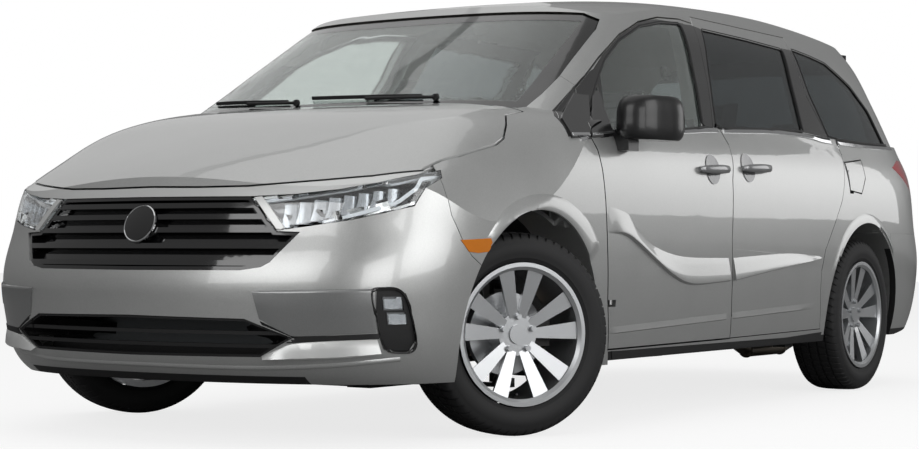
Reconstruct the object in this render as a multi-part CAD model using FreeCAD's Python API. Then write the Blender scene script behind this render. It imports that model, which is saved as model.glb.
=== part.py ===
import FreeCAD, Part
import math
import os
from FreeCAD import Vector

# Minivan with two hinged front doors, two sliding rear doors, a bonnet, a tailgate and a fuel door.
# Frame: the nose points along -Y, the car's left side is +X, +Z is up, and the tyres stand on Z = 0.

# Driving dimensions in millimetres
overall_length = 5212
body_width = 1990
roof_height = 1750
wheelbase = 3000
front_overhang = 1010
track = 1710
tyre_diameter = 704
tyre_width = 235
rim_lip_diameter = 494
steer_at_rest_degrees = -29.3
shut_gap = 6.5
seat_clearance = 0.3

# The drafting grid: stations run along the car, buttocks across it and waterlines up it.
# Outlines are written as shares of this grid, whose lines lie 100 mm apart at the sizes above.
stations_in_length = 52.12
buttocks_in_width = 19.9
waterlines_in_height = 17.5
station = overall_length / stations_in_length
buttock = body_width / buttocks_in_width
waterline = roof_height / waterlines_in_height

# Wheel places
front_axle_y = -overall_length / 2 + front_overhang
rear_axle_y = front_axle_y + wheelbase
wheel_x = track / 2
hub_z = tyre_diameter / 2

# Wall thicknesses
sheet = 4
fascia = 30
hood_thickness = 30
door_thickness = 80
frame_thickness = 40
glass_depth = 6
glass_thickness = 6
pillar_depth = 48

# Body sections from the sill to the shoulder: waterline, half width, nose, tail
body_section_shares = (
    (2.00, 9.30, 24.90, 24.60),
    (2.60, 9.46, 25.60, 25.10),
    (3.20, 9.58, 25.88, 25.55),
    (4.00, 9.70, 26.00, 25.88),
    (4.80, 9.79, 26.06, 26.03),
    (5.60, 9.86, 26.00, 26.06),
    (6.30, 9.90, 25.76, 25.94),
    (7.00, 9.92, 25.45, 25.63),
    (7.80, 9.93, 25.18, 25.28),
    (8.60, 9.92, 24.80, 25.10),
    (9.40, 9.87, 24.26, 24.98),
    (10.20, 9.72, 23.64, 24.85),
    (11.00, 9.42, 23.00, 24.60),
    (11.80, 9.12, 22.30, 24.35),
    (12.50, 8.80, 21.50, 24.20),
)
nose_plan_power = 11.5
tail_plan_power = 14
side_shares = (0, 0.25, 0.45, 0.60, 0.72, 0.81, 0.88, 0.93)
end_shares = (0.60, 0.45, 0.30, 0.15)

# Bonnet and shoulder height along the middle: station, waterline
deck_height_shares = (
    (-27, 7.0), (-26, 7.95), (-24.9, 8.65), (-23.5, 9.45), (-22, 10.1), (-20.6, 10.65),
    (-18.7, 11.25), (-16, 11.72), (-13, 12.0), (-10, 11.9), (-3, 11.85), (5, 12.15), (27, 12.0),
)
deck_bow_shares = (
    (-27, 2.4), (-24.7, 2.2), (-23.1, 1.6), (-21.5, 1.2), (-20, 0.7), (-18, 0.4), (-16, 0.3),
    (27, 0.3),
)
deck_shoulder_shares = (
    (-27, 0.5), (-22.5, 1.2), (-20, 2.3), (-18, 2.5), (-15, 2.0), (-12.5, 1.1), (-10, 0.45), (27, 0.40),
)
deck_shoulder_power = 10
deck_edge_share = 9.5
deck_span_shares = (-27, 27)
deck_rows = 37
deck_reach_shares = (0, 2.5, 5.0, 6.8, 7.8, 8.6, 9.3, 10.0, 10.8)

# Greenhouse sections: waterline, half width, windscreen, rear window
cabin_section_shares = (
    (10.0, 9.55, 18.80, 24.80),
    (10.9, 9.19, 17.32, 24.72),
    (11.8, 8.83, 15.84, 24.54),
    (12.7, 8.47, 14.25, 24.28),
    (13.6, 8.11, 12.72, 23.94),
    (14.5, 7.75, 11.15, 23.56),
    (15.3, 7.42, 9.75, 23.14),
    (16.0, 7.03, 8.55, 22.70),
    (16.6, 6.59, 7.60, 22.28),
    (17.2, 6.06, 6.75, 21.84),
    (17.8, 5.44, 5.95, 21.40),
    (18.3, 4.90, 5.30, 21.00),
)
screen_plan_powers = (6, 3)
rear_plan_powers = (10, 4)
cabin_front_shares = (0, 0.2, 0.4, 0.6, 0.75, 0.86)
cabin_front_side_shares = (0.76, 0.68, 0.55, 0.40, 0.20)
cabin_rear_side_shares = (0.9, 0.8, 0.7, 0.55, 0.40, 0.20, 0)
roof_height_shares = (
    (-17, 14.25), (-12, 15.40), (-9, 15.95), (-5, 16.58), (0, 17.10), (5, 17.38), (10, 17.48),
    (15, 17.32), (20, 16.96), (24, 16.56), (27, 16.20),
)
roof_bow_share = 0.17
roof_shoulder_share = 0.33
roof_reach_shares = (0, 2.0, 4.0, 5.4, 6.4, 7.2, 8.0, 9.0, 10.0, 11.0)
roof_edge_share = 6.5
roof_shoulder_power = 6
roof_span_shares = (-20, 27)
roof_rows = 32
screen_inset_ratio = 2
body_bottom_share = 2.35
nose_bottom_share = 2.0


# Bonnet in plan: buttock, station; and the line its front edge follows: buttock, waterline
bonnet_plan_shares = (
    (0, -27), (9.1, -27), (8.45, -21.1), (8.57, -20.2), (8.72, -19.4), (8.81, -18.2),
    (8.86, -17.3), (8.80, -16.7), (8.48, -16.0), (7.90, -15.1), (7.3, -15.0), (6.3, -15.5),
    (4.0, -16.2), (0, -16.6),
)
bonnet_edge_shares = (
    (0, 8.46), (2.1, 8.43), (3.9, 8.45), (4.7, 8.51), (6.2, 8.64), (7.5, 8.78), (8.4, 8.97), (10, 9.35),
)
bonnet_hinge_shares = (-14.8, 10.8)
bonnet_arm_side_shares = (6.95, 7.05)
bonnet_arm_shares = (
    (-16.0, 11.3), (-15.4, 11.3), (-15.3, 11.05), (-14.8, 10.88), (-14.8, 10.72), (-15.4, 10.80),
    (-16.0, 11.1),
)
bonnet_bracket_shares = ((6.8, -15.0, 10.4), (6.92, -14.6, 10.9))
bonnet_notch_shares = ((6.7, -16.4, 10.3), (7.2, -14.2, 11.6))
bonnet_rear_limit_share = -21.1
bonnet_swing_side_shares = (7.12, 8.1)
bonnet_swing_radius = 78

# Nose openings seen from the front: buttock, waterline
headlamp_shares = (
    (4.05, 8.11), (5.60, 8.18), (6.87, 8.34), (7.80, 8.55), (8.45, 8.84), (8.74, 9.02), (8.90, 8.75),
    (8.88, 8.34), (8.76, 7.80), (8.05, 7.53), (7.33, 7.33), (6.23, 7.14), (5.14, 6.98), (4.62, 7.52),
)
headlamp_depth = 50
upper_bar_shares = (
    (0, 8.12), (4.05, 8.11), (5.60, 8.18), (6.87, 8.34), (7.80, 8.55), (8.45, 8.84), (8.55, 9.10),
    (7.5, 8.78), (6.2, 8.64), (4.7, 8.51), (3.9, 8.45), (2.1, 8.43), (0, 8.46),
)
grille_shares = (
    (0, 8.12), (4.05, 8.11), (4.62, 7.52), (5.14, 6.98), (5.97, 6.95), (5.27, 5.98), (5.0, 5.82),
    (4.33, 5.72), (0, 5.70),
)
grille_bar_level_shares = (5.95, 6.50, 7.02, 7.45, 7.82)
grille_bar_height = 17
grille_bar_depth = 34
grille_back_inset = 46
emblem_plinth_radius = 62
emblem_plinth_shares = (0, 7.24)
intake_shares = ((0, 4.23), (4.50, 4.17), (6.00, 3.58), (4.88, 2.95), (0, 2.91))
intake_bar_level_shares = (3.3, 3.72)
intake_bar_height = 12
bezel_shares = (
    (8.22, 5.18), (8.60, 5.18), (8.80, 5.00), (8.86, 4.60), (8.84, 3.50), (8.66, 3.12), (8.22, 3.20),
    (8.13, 4.16),
)
fog_lamp_shares = (((8.29, 4.46), (8.70, 4.90)), ((8.34, 4.00), (8.72, 4.40)))
bumper_side_shares = (
    (-28, 1.5), (-28, 9.5), (-20.6, 9.5), (-20.94, 8.12), (-20.84, 7.53), (-20.42, 6.72), (-20.0, 6.2),
    (-19.0, 5.6), (-19.0, 1.5),
)
marker_shares = ((-20.5, 6.72), (-18.7, 6.80), (-19.3, 6.34), (-20.2, 6.30))

# Side openings: station, waterline, draft of the edge towards the middle of the car
front_door_shares = (
    (-10.45, 2.78, -0.10), (-10.97, 4.61, -0.10), (-11.23, 6.43, -0.10), (-11.43, 8.24, -0.10),
    (-11.58, 9.33, -0.10), (-11.74, 10.05, -0.10), (-12.0, 10.5, -0.10), (-11.63, 11.08, -0.10),
    (-10.6, 12.45, -0.10), (-9.61, 12.99, -0.10), (-8.15, 13.80, -0.10), (-5.95, 14.90, -0.10),
    (-3.85, 15.62, -0.10), (-1.74, 16.02, 0.0), (0.40, 16.16, 0.0), (1.52, 16.08, 0.27),
    (1.22, 15.11, 0.27), (0.68, 13.59, 0.27), (0.02, 12.28, 0.27), (-0.49, 11.41, 0.24),
    (-0.18, 10.78, 0.20), (-0.27, 10.16, 0.15), (-0.58, 9.32, 0.12), (-0.70, 6.88, 0.12),
    (-0.39, 4.44, 0.12), (-0.06, 2.86, 0.12),
)
sliding_door_shares = (
    (-0.06, 2.86, 0.12), (-0.39, 4.44, 0.12), (-0.70, 6.88, 0.12), (-0.58, 9.32, 0.12),
    (-0.27, 10.16, 0.15), (-0.18, 10.78, 0.20), (-0.49, 11.41, 0.24), (0.02, 12.28, 0.27),
    (0.68, 13.59, 0.27), (1.22, 15.11, 0.27), (1.52, 16.08, 0.27), (1.80, 16.42, 0.0),
    (11.6, 16.42, 0.0), (11.35, 15.9, 0.0), (11.1, 13.6, 0.0), (11.9, 11.6, 0.0),
    (12.02, 10.9, 0.0), (11.49, 9.72, 0.0), (11.03, 8.80, 0.0), (10.05, 7.64, 0.0),
    (9.07, 6.51, 0.0), (8.75, 5.6, 0.0), (8.80, 4.73, 0.0), (9.2, 3.24, 0.0), (9.3, 2.97, 0.0),
)
front_glass_shares = (
    (-11.0, 10.80), (-10.25, 11.75), (-8.60, 13.10), (-7.76, 13.72), (-6.11, 14.62), (-3.94, 15.39),
    (-1.82, 15.77), (0.20, 15.93), (-0.17, 14.56), (-0.83, 12.83), (-1.49, 11.48), (-5.0, 11.15),
)
divider_shares = ((-10.24, 10.4), (-8.49, 13.4))
divider_width = 24
sliding_glass_shares = (
    (-0.15, 11.49), (0.75, 13.15), (2.21, 15.86), (6.49, 15.82), (10.37, 15.71), (9.71, 13.79),
    (9.06, 11.86), (5.36, 11.75),
)
quarter_glass_shares = (
    (11.67, 15.82), (13.56, 15.65), (15.16, 15.44), (17.49, 14.49), (18.92, 13.34), (19.47, 11.73),
    (15.22, 11.61), (12.0, 11.65), (11.57, 13.68),
)
fuel_door_shares = ((12.05, 9.25), (12.05, 10.55), (14.2, 10.75), (14.1, 9.9), (13.4, 9.15))
fuel_door_thickness = 8
fuel_pocket_depth = 50
fuel_hinge_share = 12.2
fuel_hinge_x = 965
fuel_barrel_shares = (9.5, 10.2)
fuel_pin_shares = (9.0, 10.18)
fuel_swing_level_shares = (9.12, 10.58)
fuel_swing_radius = 33
fuel_barrel_radius = 6
fuel_pin_radius = 3
fuel_leaf_reach = 10

# Front edge of the cabin seen from the front: buttock, waterline
screen_shares = (
    (0, 11.50), (7.80, 11.50), (7.79, 12.1), (7.69, 12.9), (7.44, 14.0), (7.22, 15.0), (7.04, 15.45),
    (6.6, 15.68), (0, 15.72),
)
screen_rear_share = -5.8
fender_inner_share = 6.6
fender_side_shares = (
    (-20.6, 9.5), (-20.94, 8.12), (-20.84, 7.53), (-20.42, 6.72), (-20.0, 6.2), (-19.0, 5.6),
    (-19.0, 2.2), (-10.2, 2.2), (-10.45, 2.78), (-10.97, 4.61), (-11.23, 6.43), (-11.43, 8.24),
    (-11.58, 9.33), (-11.74, 10.05), (-12.0, 10.5), (-12.9, 11.17), (-10.50, 12.56), (-10.87, 12.88),
    (-17, 12.95), (-21.5, 11.5),
)

# Rear openings seen from behind: buttock, waterline
tailgate_shares = (
    (0, 6.5), (5.9, 6.5), (6.6, 7.4), (7.5, 9.2), (7.75, 10.4), (7.60, 11.4), (7.0, 13.6),
    (6.5, 15.2), (6.2, 16.2), (5.9, 17.6), (0, 17.6),
)
tailgate_front_share = 21.9
tailgate_hinge_shares = (21.2, 16.52)
tailgate_arm_side_shares = (4.40, 4.54)
tailgate_pin_shares = (4.25, 4.70)
tailgate_notch_shares = ((4.30, 21.03, 15.5), (4.64, 22.2, 16.66))
tailgate_arm_shares = (
    (21.12, 16.52), (21.12, 15.68), (22.15, 15.68), (22.38, 15.92), (22.38, 16.42), (22.0, 16.42),
    (22.0, 15.92), (21.92, 15.80), (21.28, 15.80), (21.28, 16.52),
)
roof_end_shares = ((-6.2, 21.3, 16.52), (6.2, 22.5, 18))
tailgate_glass_shares = (
    (0, 11.7), (6.4, 11.8), (6.35, 12.6), (5.9, 14.6), (5.5, 15.5), (0, 15.7),
)
spoiler_shares = ((0, 21.95), (5.7, 21.95), (5.3, 22.8), (4.2, 23.4), (0, 23.6))
spoiler_thickness = 24
tail_lamp_shares = ((18.2, 10.55), (19.5, 10.95), (27, 10.95), (27, 9.2), (21.0, 9.35))
tail_lamp_inner_share = 7.9
tail_lamp_depth = 70
rear_bumper_shares = ((17.0, 1.5), (17.0, 7.35), (27, 7.35), (27, 1.5))
underside_shares = (
    (-28, 0), (-28, 2.05), (-19, 2.05), (-18.9, 2.35), (19, 2.45), (24, 2.9), (28, 3.0), (28, 0),
)

# Wheel arches and wheels
arch_radius = 428
front_well_inner_share = 5.0
rear_well_inner_share = 6.9
housing_wall = 15
housing_outer_share = 9.2

# Cabin shell
sill_core_shares = ((0, -15, 0), (8.7, 15, 3.6))
floor_level_share = 3.6
floor_under_share = 3.0
floor_under_half_share = 8.0
firewall_shares = ((-14.2, 3.0), (-13.8, 10.5))
cabin_front_share = -13.8
plenum_shares = ((-8.0, -17.6, 9.9), (8.0, -14.0, 10.55))
apron_shares = ((4.55, -23.4, 3.6), (4.95, -14.0, 8.2))
radiator_support_shares = (
    ((-5.3, -23.9, 2.5), (5.3, -23.3, 3.2)),
    ((-5.3, -23.9, 7.8), (5.3, -23.3, 8.2)),
    ((-5.3, -23.9, 2.5), (-4.6, -23.3, 8.2)),
    ((4.6, -23.9, 2.5), (5.3, -23.3, 8.2)),
)
firewall_half_share = 8.6
bumper_beam_shares = ((-6.0, -26.5, 4.55), (6.0, -23.8, 5.4))
cowl_levels_shares = (10.6, 11.5)
cowl_half_share = 7.0
cowl_front_share = -20.0
cowl_rear_share = -13.83
jack_pad_shares = (
    ((8.0, -10.0, 2.2), (8.6, -9.2, 2.7)),
    ((8.0, 7.6, 2.2), (8.6, 8.4, 2.7)),
)
pillar_half_width = 65
pillar_foot_shares = ((8.7, -15, 0), (12, 15, 3.66))
lamp_corner_shares = ((4.78, -24.2, 7.68), (5.5, -23.3, 8.4))
bonnet_corner_shares = ((7.65, -14.5, 10.34), (8.2, -13.7, 10.8))

# Seams between fixed panels, cutter overruns and the smallest solid kept
seam = 2.4
overrun = 300
opening_inner_share = 3.5
sliver_volume = 200
cabin_side_from_share = 11.6
bonnet_side_level_share = 8.6
bonnet_front_share = -18.5
nose_rear_share = -20.0
grille_frame = 12
grille_inset = 6
intake_frame = 8
emblem_inset = 2
fog_lamp_depth = 48
fog_lamp_inset = 8
pillar_rise = 40

# Front door hinges
door_hinge_x = 967
door_hinge_station_share = -10.62
door_hinge_level_shares = (4.7, 8.5)
hinge_radius = 8
hinge_pin_radius = 4
hinge_height = 26
hinge_arm_reach = 125
hinge_arm_width = 20
hinge_arm_forward = 9
hinge_notch_rear = 30
hinge_notch_front = 140
hinge_notch_margin = 8
hinge_leaf_margin = 1
hinge_door_leaf_margin = 2
sliding_pillar_rows = 11
hinge_web_shares = ((8.3, -13.9, 3.1), (9.6, -12.7, 10.2))
hinge_pillar_shares = ((7.9, -14.0, 3.1), (9.9, -10.40, 10.3))
door_swing_shares = ((1.22, 2.8, 9.8), (1.66, 9.7, 11.7))

# Door mirror
mirror_plan_shares = (
    (9.72, -10.20), (10.25, -10.42), (10.85, -10.08), (11.25, -9.2), (11.42, -8.3), (11.2, -7.75),
    (10.6, -8.1), (9.85, -8.95),
)
mirror_section_shares = (
    (10.50, 0.72), (10.58, 0.90), (10.80, 0.985), (11.30, 1.0), (11.75, 0.97), (12.02, 0.86),
    (12.14, 0.66),
)
mirror_foot_shares = ((9.3, -10.2, 10.1), (10.2, -9.4, 10.8))

# Cabin fittings
trim_rounding = 30
dashboard_shares = (
    ((-7.8, -13.7, 7.2), (7.8, -10.6, 10.2)),
    ((2.2, -11.6, 8.6), (5.4, -9.6, 10.6)),
    ((-1.6, -12.6, 4.2), (1.6, -9.2, 9.0)),
)
steering_wheel_shares = (3.8, -7.9, 9.9)
steering_wheel_radius = 185
steering_rim_radius = 14
steering_hub_radius = 62
steering_spoke_degrees = (0, 180, 270)
column_radius = 28
column_length = 230
column_tilt_degrees = 66
seat_block_shares = (
    ((-3.0, 3.6), (2.2, 4.6), 0.8, 12),
    ((-3.4, 4.6), (2.4, 6.3), 0.0, 50),
)
seat_back_shares = (
    ((1.4, 5.9), (2.9, 12.0), 0.1, 50),
    ((1.6, 12.2), (2.5, 14.0), 1.3, 40),
)
seat_hinge_shares = (2.0, 5.6)
seat_recline_degrees = 20
headrest_post_level_shares = (11.6, 12.6)
headrest_post_share = 2.1
headrest_post_spacing = 130
headrest_post_radius = 7
front_seat_shares = ((3.8, -3.6), (-3.8, -3.6))
middle_seat_shares = ((3.6, 6.0), (-3.6, 6.0))
rear_seat_place_shares = (0, 15.2)
front_seat_width_share = 5.4
middle_seat_width_share = 5.2
rear_seat_width_share = 12.6

# Wheels and brakes
rim_flange = 14
rim_flange_width = 9
rim_wall = 11
rim_face_recess = 40
rim_tip_recess = 16
rim_hub_radius = 74
rim_hub_depth = 28
rim_root_share = 0.8
rim_spoke_pairs = 5
rim_spoke_half_angle = 15
rim_spoke_root_width = 33
rim_spoke_tip_width = 62
rim_spoke_depth = 26
rim_spoke_back_share = 0.7
hub_cap_radius = 34
hub_cap_height = 6
wheel_nut_count = 5
wheel_nut_circle = 120
wheel_nut_radius = 10
wheel_nut_height = 14
tyre_bead_share = 0.86
tyre_bulge_share = 0.45
tyre_shoulder_share = 0.82
tyre_shoulder_drop = 9
disc_radius = 145
disc_thickness = 26
disc_inner_x = -38
disc_bell_radius = 72
disc_gap = 5
spindle_radius = 15
knuckle_inner_x = -92
knuckle_column_depth = 30
knuckle_column_width = 44
knuckle_lug_low = 154
knuckle_lug_top = 172
knuckle_lug_width = 36
ball_radius = 8
bearing_radius = 52
caliper_outer_x = 4
caliper_inner_radius = 95
caliper_outer_radius = 166
caliper_height = 90
wishbone_thickness = 14
wishbone_inner_shares = (3.6, 5.003)
wishbone_neck = 240
wishbone_spread = 150
wishbone_tower_shares = ((5.003, -18.0, 4.5), (5.3, -14.0, 5.6))
subframe_shares = (
    ((-4.2, -18.2, 1.6), (4.2, -17.2, 2.2)),
    ((-4.2, -14.6, 1.6), (4.2, -13.6, 2.2)),
    ((-4.6, -18.6, 1.6), (-3.6, -13.2, 2.348)),
    ((3.6, -18.6, 1.6), (4.6, -13.2, 2.348)),
)
rear_stub_share = 7.3
rear_member_shares = (
    ((-7.35, 13.5, 2.25), (7.35, 14.5, 2.997)),
    ((-7.35, 13.5, 2.25), (-6.95, 14.6, 4.1)),
    ((6.95, 13.5, 2.25), (7.35, 14.6, 4.1)),
)
rear_arm_shares = (((6.8, 10.0, 2.3), (7.35, 13.6, 2.9)),)

# Underbody and engine bay
engine_shares = ((-3.4, -21.6, 3.0), (3.6, -16.6, 9.3))
engine_mount_shares = ((-4.547, -19.6, 6.0), (4.547, -18.8, 6.5))
radiator_shares = ((-4.5, -23.297, 2.9), (4.5, -22.8, 7.9))
fuel_tank_shares = ((-5.4, 1.0, 1.9), (4.0, 8.6, 2.997))
exhaust_radius = 32
exhaust_joint_radius = 36
exhaust_route_shares = (
    (4.8, -13.0, 2.6), (4.8, 9.5, 2.6), (4.8, 11.8, 1.8), (4.8, 15.6, 1.8), (4.9, 18.6, 2.55),
    (4.9, 24.0, 2.55),
)
silencer_shares = ((-3.6, 18.6, 2.2), (5.6, 21.4, 2.997))

nose_zone_shares = ((-11, -28, 0), (11, -16.5, 13))
grille_zone_shares = ((-6.2, -28, 5.5), (6.2, -23, 8.3))
intake_zone_shares = ((-6.2, -28, 2.7), (6.2, -23, 4.5))
upper_bar_zone_shares = ((-9, -28, 7.9), (9, -18, 9.3))
headlamp_zone_shares = ((3.9, -28, 6.8), (9.4, -18.3, 9.3))
pod_zone_shares = ((7.9, -28, 2.9), (9.2, -18, 5.4))
tail_zone_shares = ((-11, 16.5, 0), (11, 28, 13))
bonnet_zone_shares = ((-11, -28, 7), (11, -14, 13))
left_zone_shares = ((0, -28, -1), (11, 28, 20))
fender_zone_shares = ((6.5, -22, 1), (11, -9.5, 14))
quarter_zone_shares = ((7, 9.5, 8), (11, 16, 12))
screen_zone_shares = ((-11, -22, 9), (11, -5, 17))
floor_under_shares = ((-8.0, -13.0, 1.0), (8.0, 24.0, 3.0))


def smooth(table):
    """A smooth curve of value against place through a table of pairs."""
    places = [row[0] for row in table]
    values = [row[1] for row in table]
    last = len(table) - 1
    slopes = []
    for i in range(last + 1):
        low = max(i - 1, 0)
        high = min(i + 1, last)
        slopes.append((values[high] - values[low]) / (places[high] - places[low]))

    def value(place):
        if place <= places[0]:
            return values[0] + slopes[0] * (place - places[0])
        if place >= places[last]:
            return values[last] + slopes[last] * (place - places[last])
        i = max(k for k in range(last) if places[k] <= place)
        span = places[i + 1] - places[i]
        t = (place - places[i]) / span
        start = (2 * t**3 - 3 * t**2 + 1) * values[i] + (t**3 - 2 * t**2 + t) * span * slopes[i]
        end = (3 * t**2 - 2 * t**3) * values[i + 1] + (t**3 - t**2) * span * slopes[i + 1]
        return start + end

    return value


deck_height = smooth(deck_height_shares)
deck_bow = smooth(deck_bow_shares)
deck_shoulder = smooth(deck_shoulder_shares)
roof_line = smooth(roof_height_shares)


def closed_ring(right_side, z):
    """A ring of points, symmetric about the middle plane, from its right half."""
    left_side = [(-x, y) for x, y in right_side[-2:0:-1]]
    return [Vector(x, y, z) for x, y in right_side + left_side]


def body_ring(half_width, nose, tail, z):
    """One level section of the lower body, with rounded corners in plan."""
    right_side = [(0, tail)]
    for share in end_shares[::-1]:
        right_side.append((share * half_width, tail * (1 - share**2) ** (1 / tail_plan_power)))
    for share in side_shares[::-1]:
        right_side.append((half_width * math.sqrt(1 - share**tail_plan_power), tail * share))
    for share in side_shares[1:]:
        right_side.append((half_width * math.sqrt(1 - share**nose_plan_power), -nose * share))
    for share in end_shares:
        right_side.append((share * half_width, -nose * (1 - share**2) ** (1 / nose_plan_power)))
    right_side.append((0, -nose))
    return closed_ring(right_side, z)


def cabin_ring(half_width, front, rear, z):
    """One level section of the greenhouse, with a bowed windscreen."""
    along, across = rear_plan_powers
    right_side = []
    for share in cabin_front_shares:
        right_side.append((share * half_width, rear * (1 - share**across) ** (1 / along)))
    for share in cabin_rear_side_shares:
        right_side.append((half_width * (1 - share**along) ** (1 / across), rear * share))
    along, across = screen_plan_powers
    for share in cabin_front_side_shares[::-1]:
        right_side.append((half_width * (1 - share**along) ** (1 / across), -front * share))
    for share in cabin_front_shares[::-1]:
        right_side.append((share * half_width, -front * (1 - share**across) ** (1 / along)))
    return closed_ring(right_side, z)


def stack(rings):
    """A solid through a stack of rings."""
    middle = rings[len(rings) // 2]
    knots = [0.0]
    for a, b in zip(middle, middle[1:] + middle[:1]):
        knots.append(knots[-1] + (b - a).Length)
    wires = []
    for ring in rings:
        curve = Part.BSplineCurve()
        curve.interpolate(Points=ring, PeriodicFlag=True, Parameters=knots)
        wires.append(Part.Wire([curve.toShape()]))
    return Part.makeLoft(wires, True, False, False)


def sheet_below(height, across, along, depth):
    """The solid that lies under a smooth height field."""
    rows = []
    for x in across:
        rows.append([Vector(x, y, height(x, y)) for y in along])
    surface = Part.BSplineSurface()
    surface.interpolate(rows)
    return surface.toShape().extrude(Vector(0, 0, -depth))


def both_sides(shares):
    """Places on both sides of the middle from those on one side."""
    return [-share for share in shares[:0:-1]] + list(shares)


def even_places(first, last, count):
    """Evenly spaced places."""
    return [first + (last - first) * i / (count - 1) for i in range(count)]


def lower_body(inset):
    """The lower body, with every surface moved inwards by the inset."""
    rings = []
    for level, half_width, nose, tail in body_section_shares:
        rings.append(
            body_ring(
                half_width * buttock - inset,
                nose * station - inset,
                tail * station - inset,
                level * waterline,
            )
        )

    def height(x, y):
        place = y / station
        reach = abs(x) / buttock / deck_edge_share
        drop = deck_bow(place) * reach**2 + deck_shoulder(place) * reach**deck_shoulder_power
        return (deck_height(place) - drop) * waterline - inset

    across = [share * buttock for share in both_sides(deck_reach_shares)]
    along = [share * station for share in even_places(*deck_span_shares, deck_rows)]
    return stack(rings).common(sheet_below(height, across, along, roof_height))


def cabin_body(inset):
    """The greenhouse, with every surface moved inwards by the inset, measured square to it."""
    screen_inset = screen_inset_ratio * inset
    rings = []
    for level, half_width, front, rear in cabin_section_shares:
        rings.append(
            cabin_ring(
                half_width * buttock - inset,
                front * station - screen_inset,
                rear * station - inset,
                level * waterline,
            )
        )

    return stack(rings).common(roof_field(inset))


def roof_field(inset):
    """The solid under the roof's surface."""

    def height(x, y):
        reach = abs(x) / buttock / roof_edge_share
        drop = roof_bow_share * reach**2 + roof_shoulder_share * reach**roof_shoulder_power
        return (roof_line(y / station) - drop) * waterline - inset

    across = [share * buttock for share in both_sides(roof_reach_shares)]
    along = [share * station for share in even_places(*roof_span_shares, roof_rows)]
    return sheet_below(height, across, along, roof_height)


def side_x(level):
    """Half width of the outer surface at a waterline, in millimetres."""
    if level < cabin_side_from_share:
        return smooth([row[:2] for row in body_section_shares])(level) * buttock
    return smooth([row[:2] for row in cabin_section_shares])(level) * buttock


def grow(points, distance):
    """A closed outline moved outwards by a distance, or inwards where it is negative."""
    area = 0.0
    for (a, b), (c, d) in zip(points, points[1:] + points[:1]):
        area += (a * d - b * c) / 2
    side = math.copysign(distance, area) if distance > 0 else -math.copysign(distance, area)
    moved = []
    count = len(points)
    for i in range(count):
        before = points[i - 1]
        here = points[i]
        after = points[(i + 1) % count]
        first = math.atan2(here[1] - before[1], here[0] - before[0])
        second = math.atan2(after[1] - here[1], after[0] - here[0])
        n1 = (math.sin(first), -math.cos(first))
        n2 = (math.sin(second), -math.cos(second))
        scale = side / (1 + n1[0] * n2[0] + n1[1] * n2[1])
        moved.append((here[0] + (n1[0] + n2[0]) * scale, here[1] + (n1[1] + n2[1]) * scale))
    return moved


def ring_wire(vectors):
    """A closed wire of straight edges."""
    return Part.makePolygon(list(vectors) + [vectors[0]])


def side_prism(points, x_from, x_to):
    """A prism across the car from an outline in the side view."""
    wire = ring_wire([Vector(x_from, y, z) for y, z in points])
    return Part.Face(wire).extrude(Vector(x_to - x_from, 0, 0))


def front_prism(points, y_from, y_to):
    """A prism along the car from an outline in the front view."""
    wire = ring_wire([Vector(x, y_from, z) for x, z in points])
    return Part.Face(wire).extrude(Vector(0, y_to - y_from, 0))


def plan_prism(points, z_from, z_to):
    """An upright prism from an outline in plan."""
    wire = ring_wire([Vector(x, y, z_from) for x, y in points])
    return Part.Face(wire).extrude(Vector(0, 0, z_to - z_from))


def side_points(shares):
    """Side view places in millimetres from stations and waterlines."""
    return [(row[0] * station, row[1] * waterline) for row in shares]


def front_points(shares):
    """Front view places in millimetres from buttocks and waterlines."""
    return [(row[0] * buttock, row[1] * waterline) for row in shares]


def plan_points(shares):
    """Plan places in millimetres from buttocks and stations."""
    return [(row[0] * buttock, row[1] * station) for row in shares]


def whole_outline(half):
    """A symmetric outline from its right half, whose ends lie on the middle plane."""
    return list(half) + [(-x, other) for x, other in half[-2:0:-1]]


def block(corner_shares):
    """A box between two corners given in buttocks, stations and waterlines."""
    (b0, s0, w0), (b1, s1, w1) = corner_shares
    size = ((b1 - b0) * buttock, (s1 - s0) * station, (w1 - w0) * waterline)
    return Part.makeBox(*size, Vector(b0 * buttock, s0 * station, w0 * waterline))


def soft_block(corner_shares, radius):
    """A box with rounded edges."""
    solid = block(corner_shares)
    return solid.makeFillet(radius, solid.Edges)


def mirrored(solid):
    """The same solid on the other side of the car."""
    return solid.mirror(Vector(0, 0, 0), Vector(1, 0, 0))


def both(solid):
    """The solid and its mirror image."""
    return [solid, mirrored(solid)]


def fused(solids):
    """One shape from several that touch."""
    solids = list(solids)
    if len(solids) == 1:
        return solids[0]
    return solids[0].multiFuse(solids[1:]).removeSplitter()


def less(solid, tools):
    """The solid with every tool cut from it."""
    return solid.cut(list(tools))


def solids_of(*shapes):
    """A compound of every solid in the shapes that is larger than a sliver."""
    kept = []
    for shape in shapes:
        kept += [solid for solid in shape.Solids if solid.Volume > sliver_volume]
    return Part.makeCompound(kept)


def rod(start, end, radius):
    """A round bar between two points."""
    along = end - start
    return Part.makeCylinder(radius, along.Length, start, along)


def write(name, *shapes):
    """Write one node from its solids."""
    kept = solids_of(*shapes)
    if not kept.Solids:
        raise ValueError("no solid in " + name)
    shape = kept.Solids[0] if len(kept.Solids) == 1 else kept
    shape.exportStep(os.path.join("parts", name + ".step"))
    print(name, len(kept.Solids), round(kept.Volume / 1e6, 2), kept.isValid())


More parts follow.
